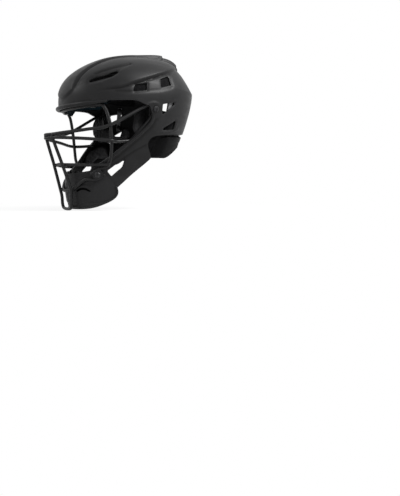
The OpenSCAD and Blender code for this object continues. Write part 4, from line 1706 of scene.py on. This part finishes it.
@dataclass
class Studio:
    """Floor, light and camera, in metres."""

    camera_at: Point = (0.9292, -0.5052, -0.1474)
    azimuth: float = 53.7
    elevation: float = 6.4
    focal_px: float = 545.0
    long_side_px: float = 496.0
    aim: Point = (0.0, 0.0, -0.03)
    ambient: float = 0.23
    floor_half: float = 8.0
    floor_gap: float = 0.0005
    floor_tone: tuple[float, ...] = (0.95, 0.95, 0.95, 1.0)
    shadow_near: float = 0.1
    shadow_far: float = 0.4
    shadow_least: float = 0.8
    lamps: tuple[tuple[str, Point, float, float], ...] = (
        ("top_lamp", (0.35, 0.1, 1.1), 0.9, 0.8),
        ("rear_lamp", (0.85, 0.6, 0.9), 0.7, 31.0),
        ("face_lamp", (0.55, -1.0, -0.05), 0.4, 1.0),
        ("brow_lamp", (-0.35, -0.9, 0.6), 0.4, 3.5),
    )

    def camera(self) -> None:
        """Places the camera as the photo was taken."""
        data = bpy.data.cameras.new("camera")
        data.sensor_fit, data.sensor_width = "AUTO", 36.0
        data.lens = data.sensor_width * self.focal_px / self.long_side_px
        data.clip_start, data.clip_end = 0.01, 100.0
        eye = bpy.data.objects.new("camera", data)
        eye.location = self.camera_at
        eye.rotation_euler = (math.radians(90 - self.elevation), 0.0, math.radians(self.azimuth))
        bpy.context.scene.collection.objects.link(eye)
        bpy.context.scene.camera = eye

    def lamp(self, name: str, place: Point, size: float, power: float) -> None:
        """Adds a soft lamp that faces the mask.

        Args:
            name: The name of the lamp.
            place: Where it stands, in metres.
            size: Its width, in metres.
            power: Its power, in watts.
        """
        data = bpy.data.lights.new(name, "AREA")
        data.shape, data.size, data.energy = "DISK", size, power
        lamp = bpy.data.objects.new(name, data)
        lamp.location = place
        lamp.rotation_euler = (Vector(self.aim) - Vector(place)).to_track_quat("-Z", "Y").to_euler()
        bpy.context.scene.collection.objects.link(lamp)

    def world(self) -> None:
        """A white surround that lights the mask softly."""
        world = bpy.data.worlds.new("surround")
        bpy.context.scene.world = world
        w = Wiring(world)
        w.tree.nodes.remove(w.tree.nodes["Background"])
        white = (1, 1, 1, 1)
        soft, plain = (w.add("Background", Color=white, Strength=power) for power in (self.ambient, 1.0))
        w.show(w.seen(), soft, plain)

    def floor(self) -> None:
        """A white floor that keeps the shadow near the mask."""
        bm = bmesh.new()
        bmesh.ops.create_grid(bm, x_segments=4, y_segments=4, size=self.floor_half)
        bmesh.ops.translate(bm, verts=list(bm.verts), vec=(0, 0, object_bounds()[0].z - self.floor_gap))
        floor = new_object("floor", bm, smooth=False)
        finish = bpy.data.materials.new("white_floor")
        w = Wiring(finish)
        w.set(Base_Color=self.floor_tone, Roughness=0.9)
        away = w.add("VectorMath", w.place, operation="LENGTH").outputs["Value"]
        reach = {"From_Min": self.shadow_near, "From_Max": self.shadow_far, "To_Min": self.shadow_least}
        fade = w.add("MapRange", away, **reach).outputs["Result"]
        w.show(w.calc("MULTIPLY", w.seen(), fade), w.shader, w.add("Emission"))
        floor.data.materials.append(finish)
        floor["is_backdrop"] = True

    def build(self) -> None:
        """Sets the scene's camera, light and floor."""
        self.camera()
        self.world()
        self.floor()
        for lamp in self.lamps:
            self.lamp(*lamp)
        bpy.context.scene.view_settings.view_transform = "Standard"


def main() -> None:
    """Builds the mask piece by piece."""
    logging.basicConfig(level=logging.INFO, format="%(message)s")
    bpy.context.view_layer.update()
    Studio().build()
    for part in (FrontShell(), ChinGuard(), RearPlate(), Cage(), Liner(), Hardware()):
        LOG.info("%s", type(part).__name__)
        part.build()
    bpy.context.view_layer.update()


if __name__ == "__main__":
    main()
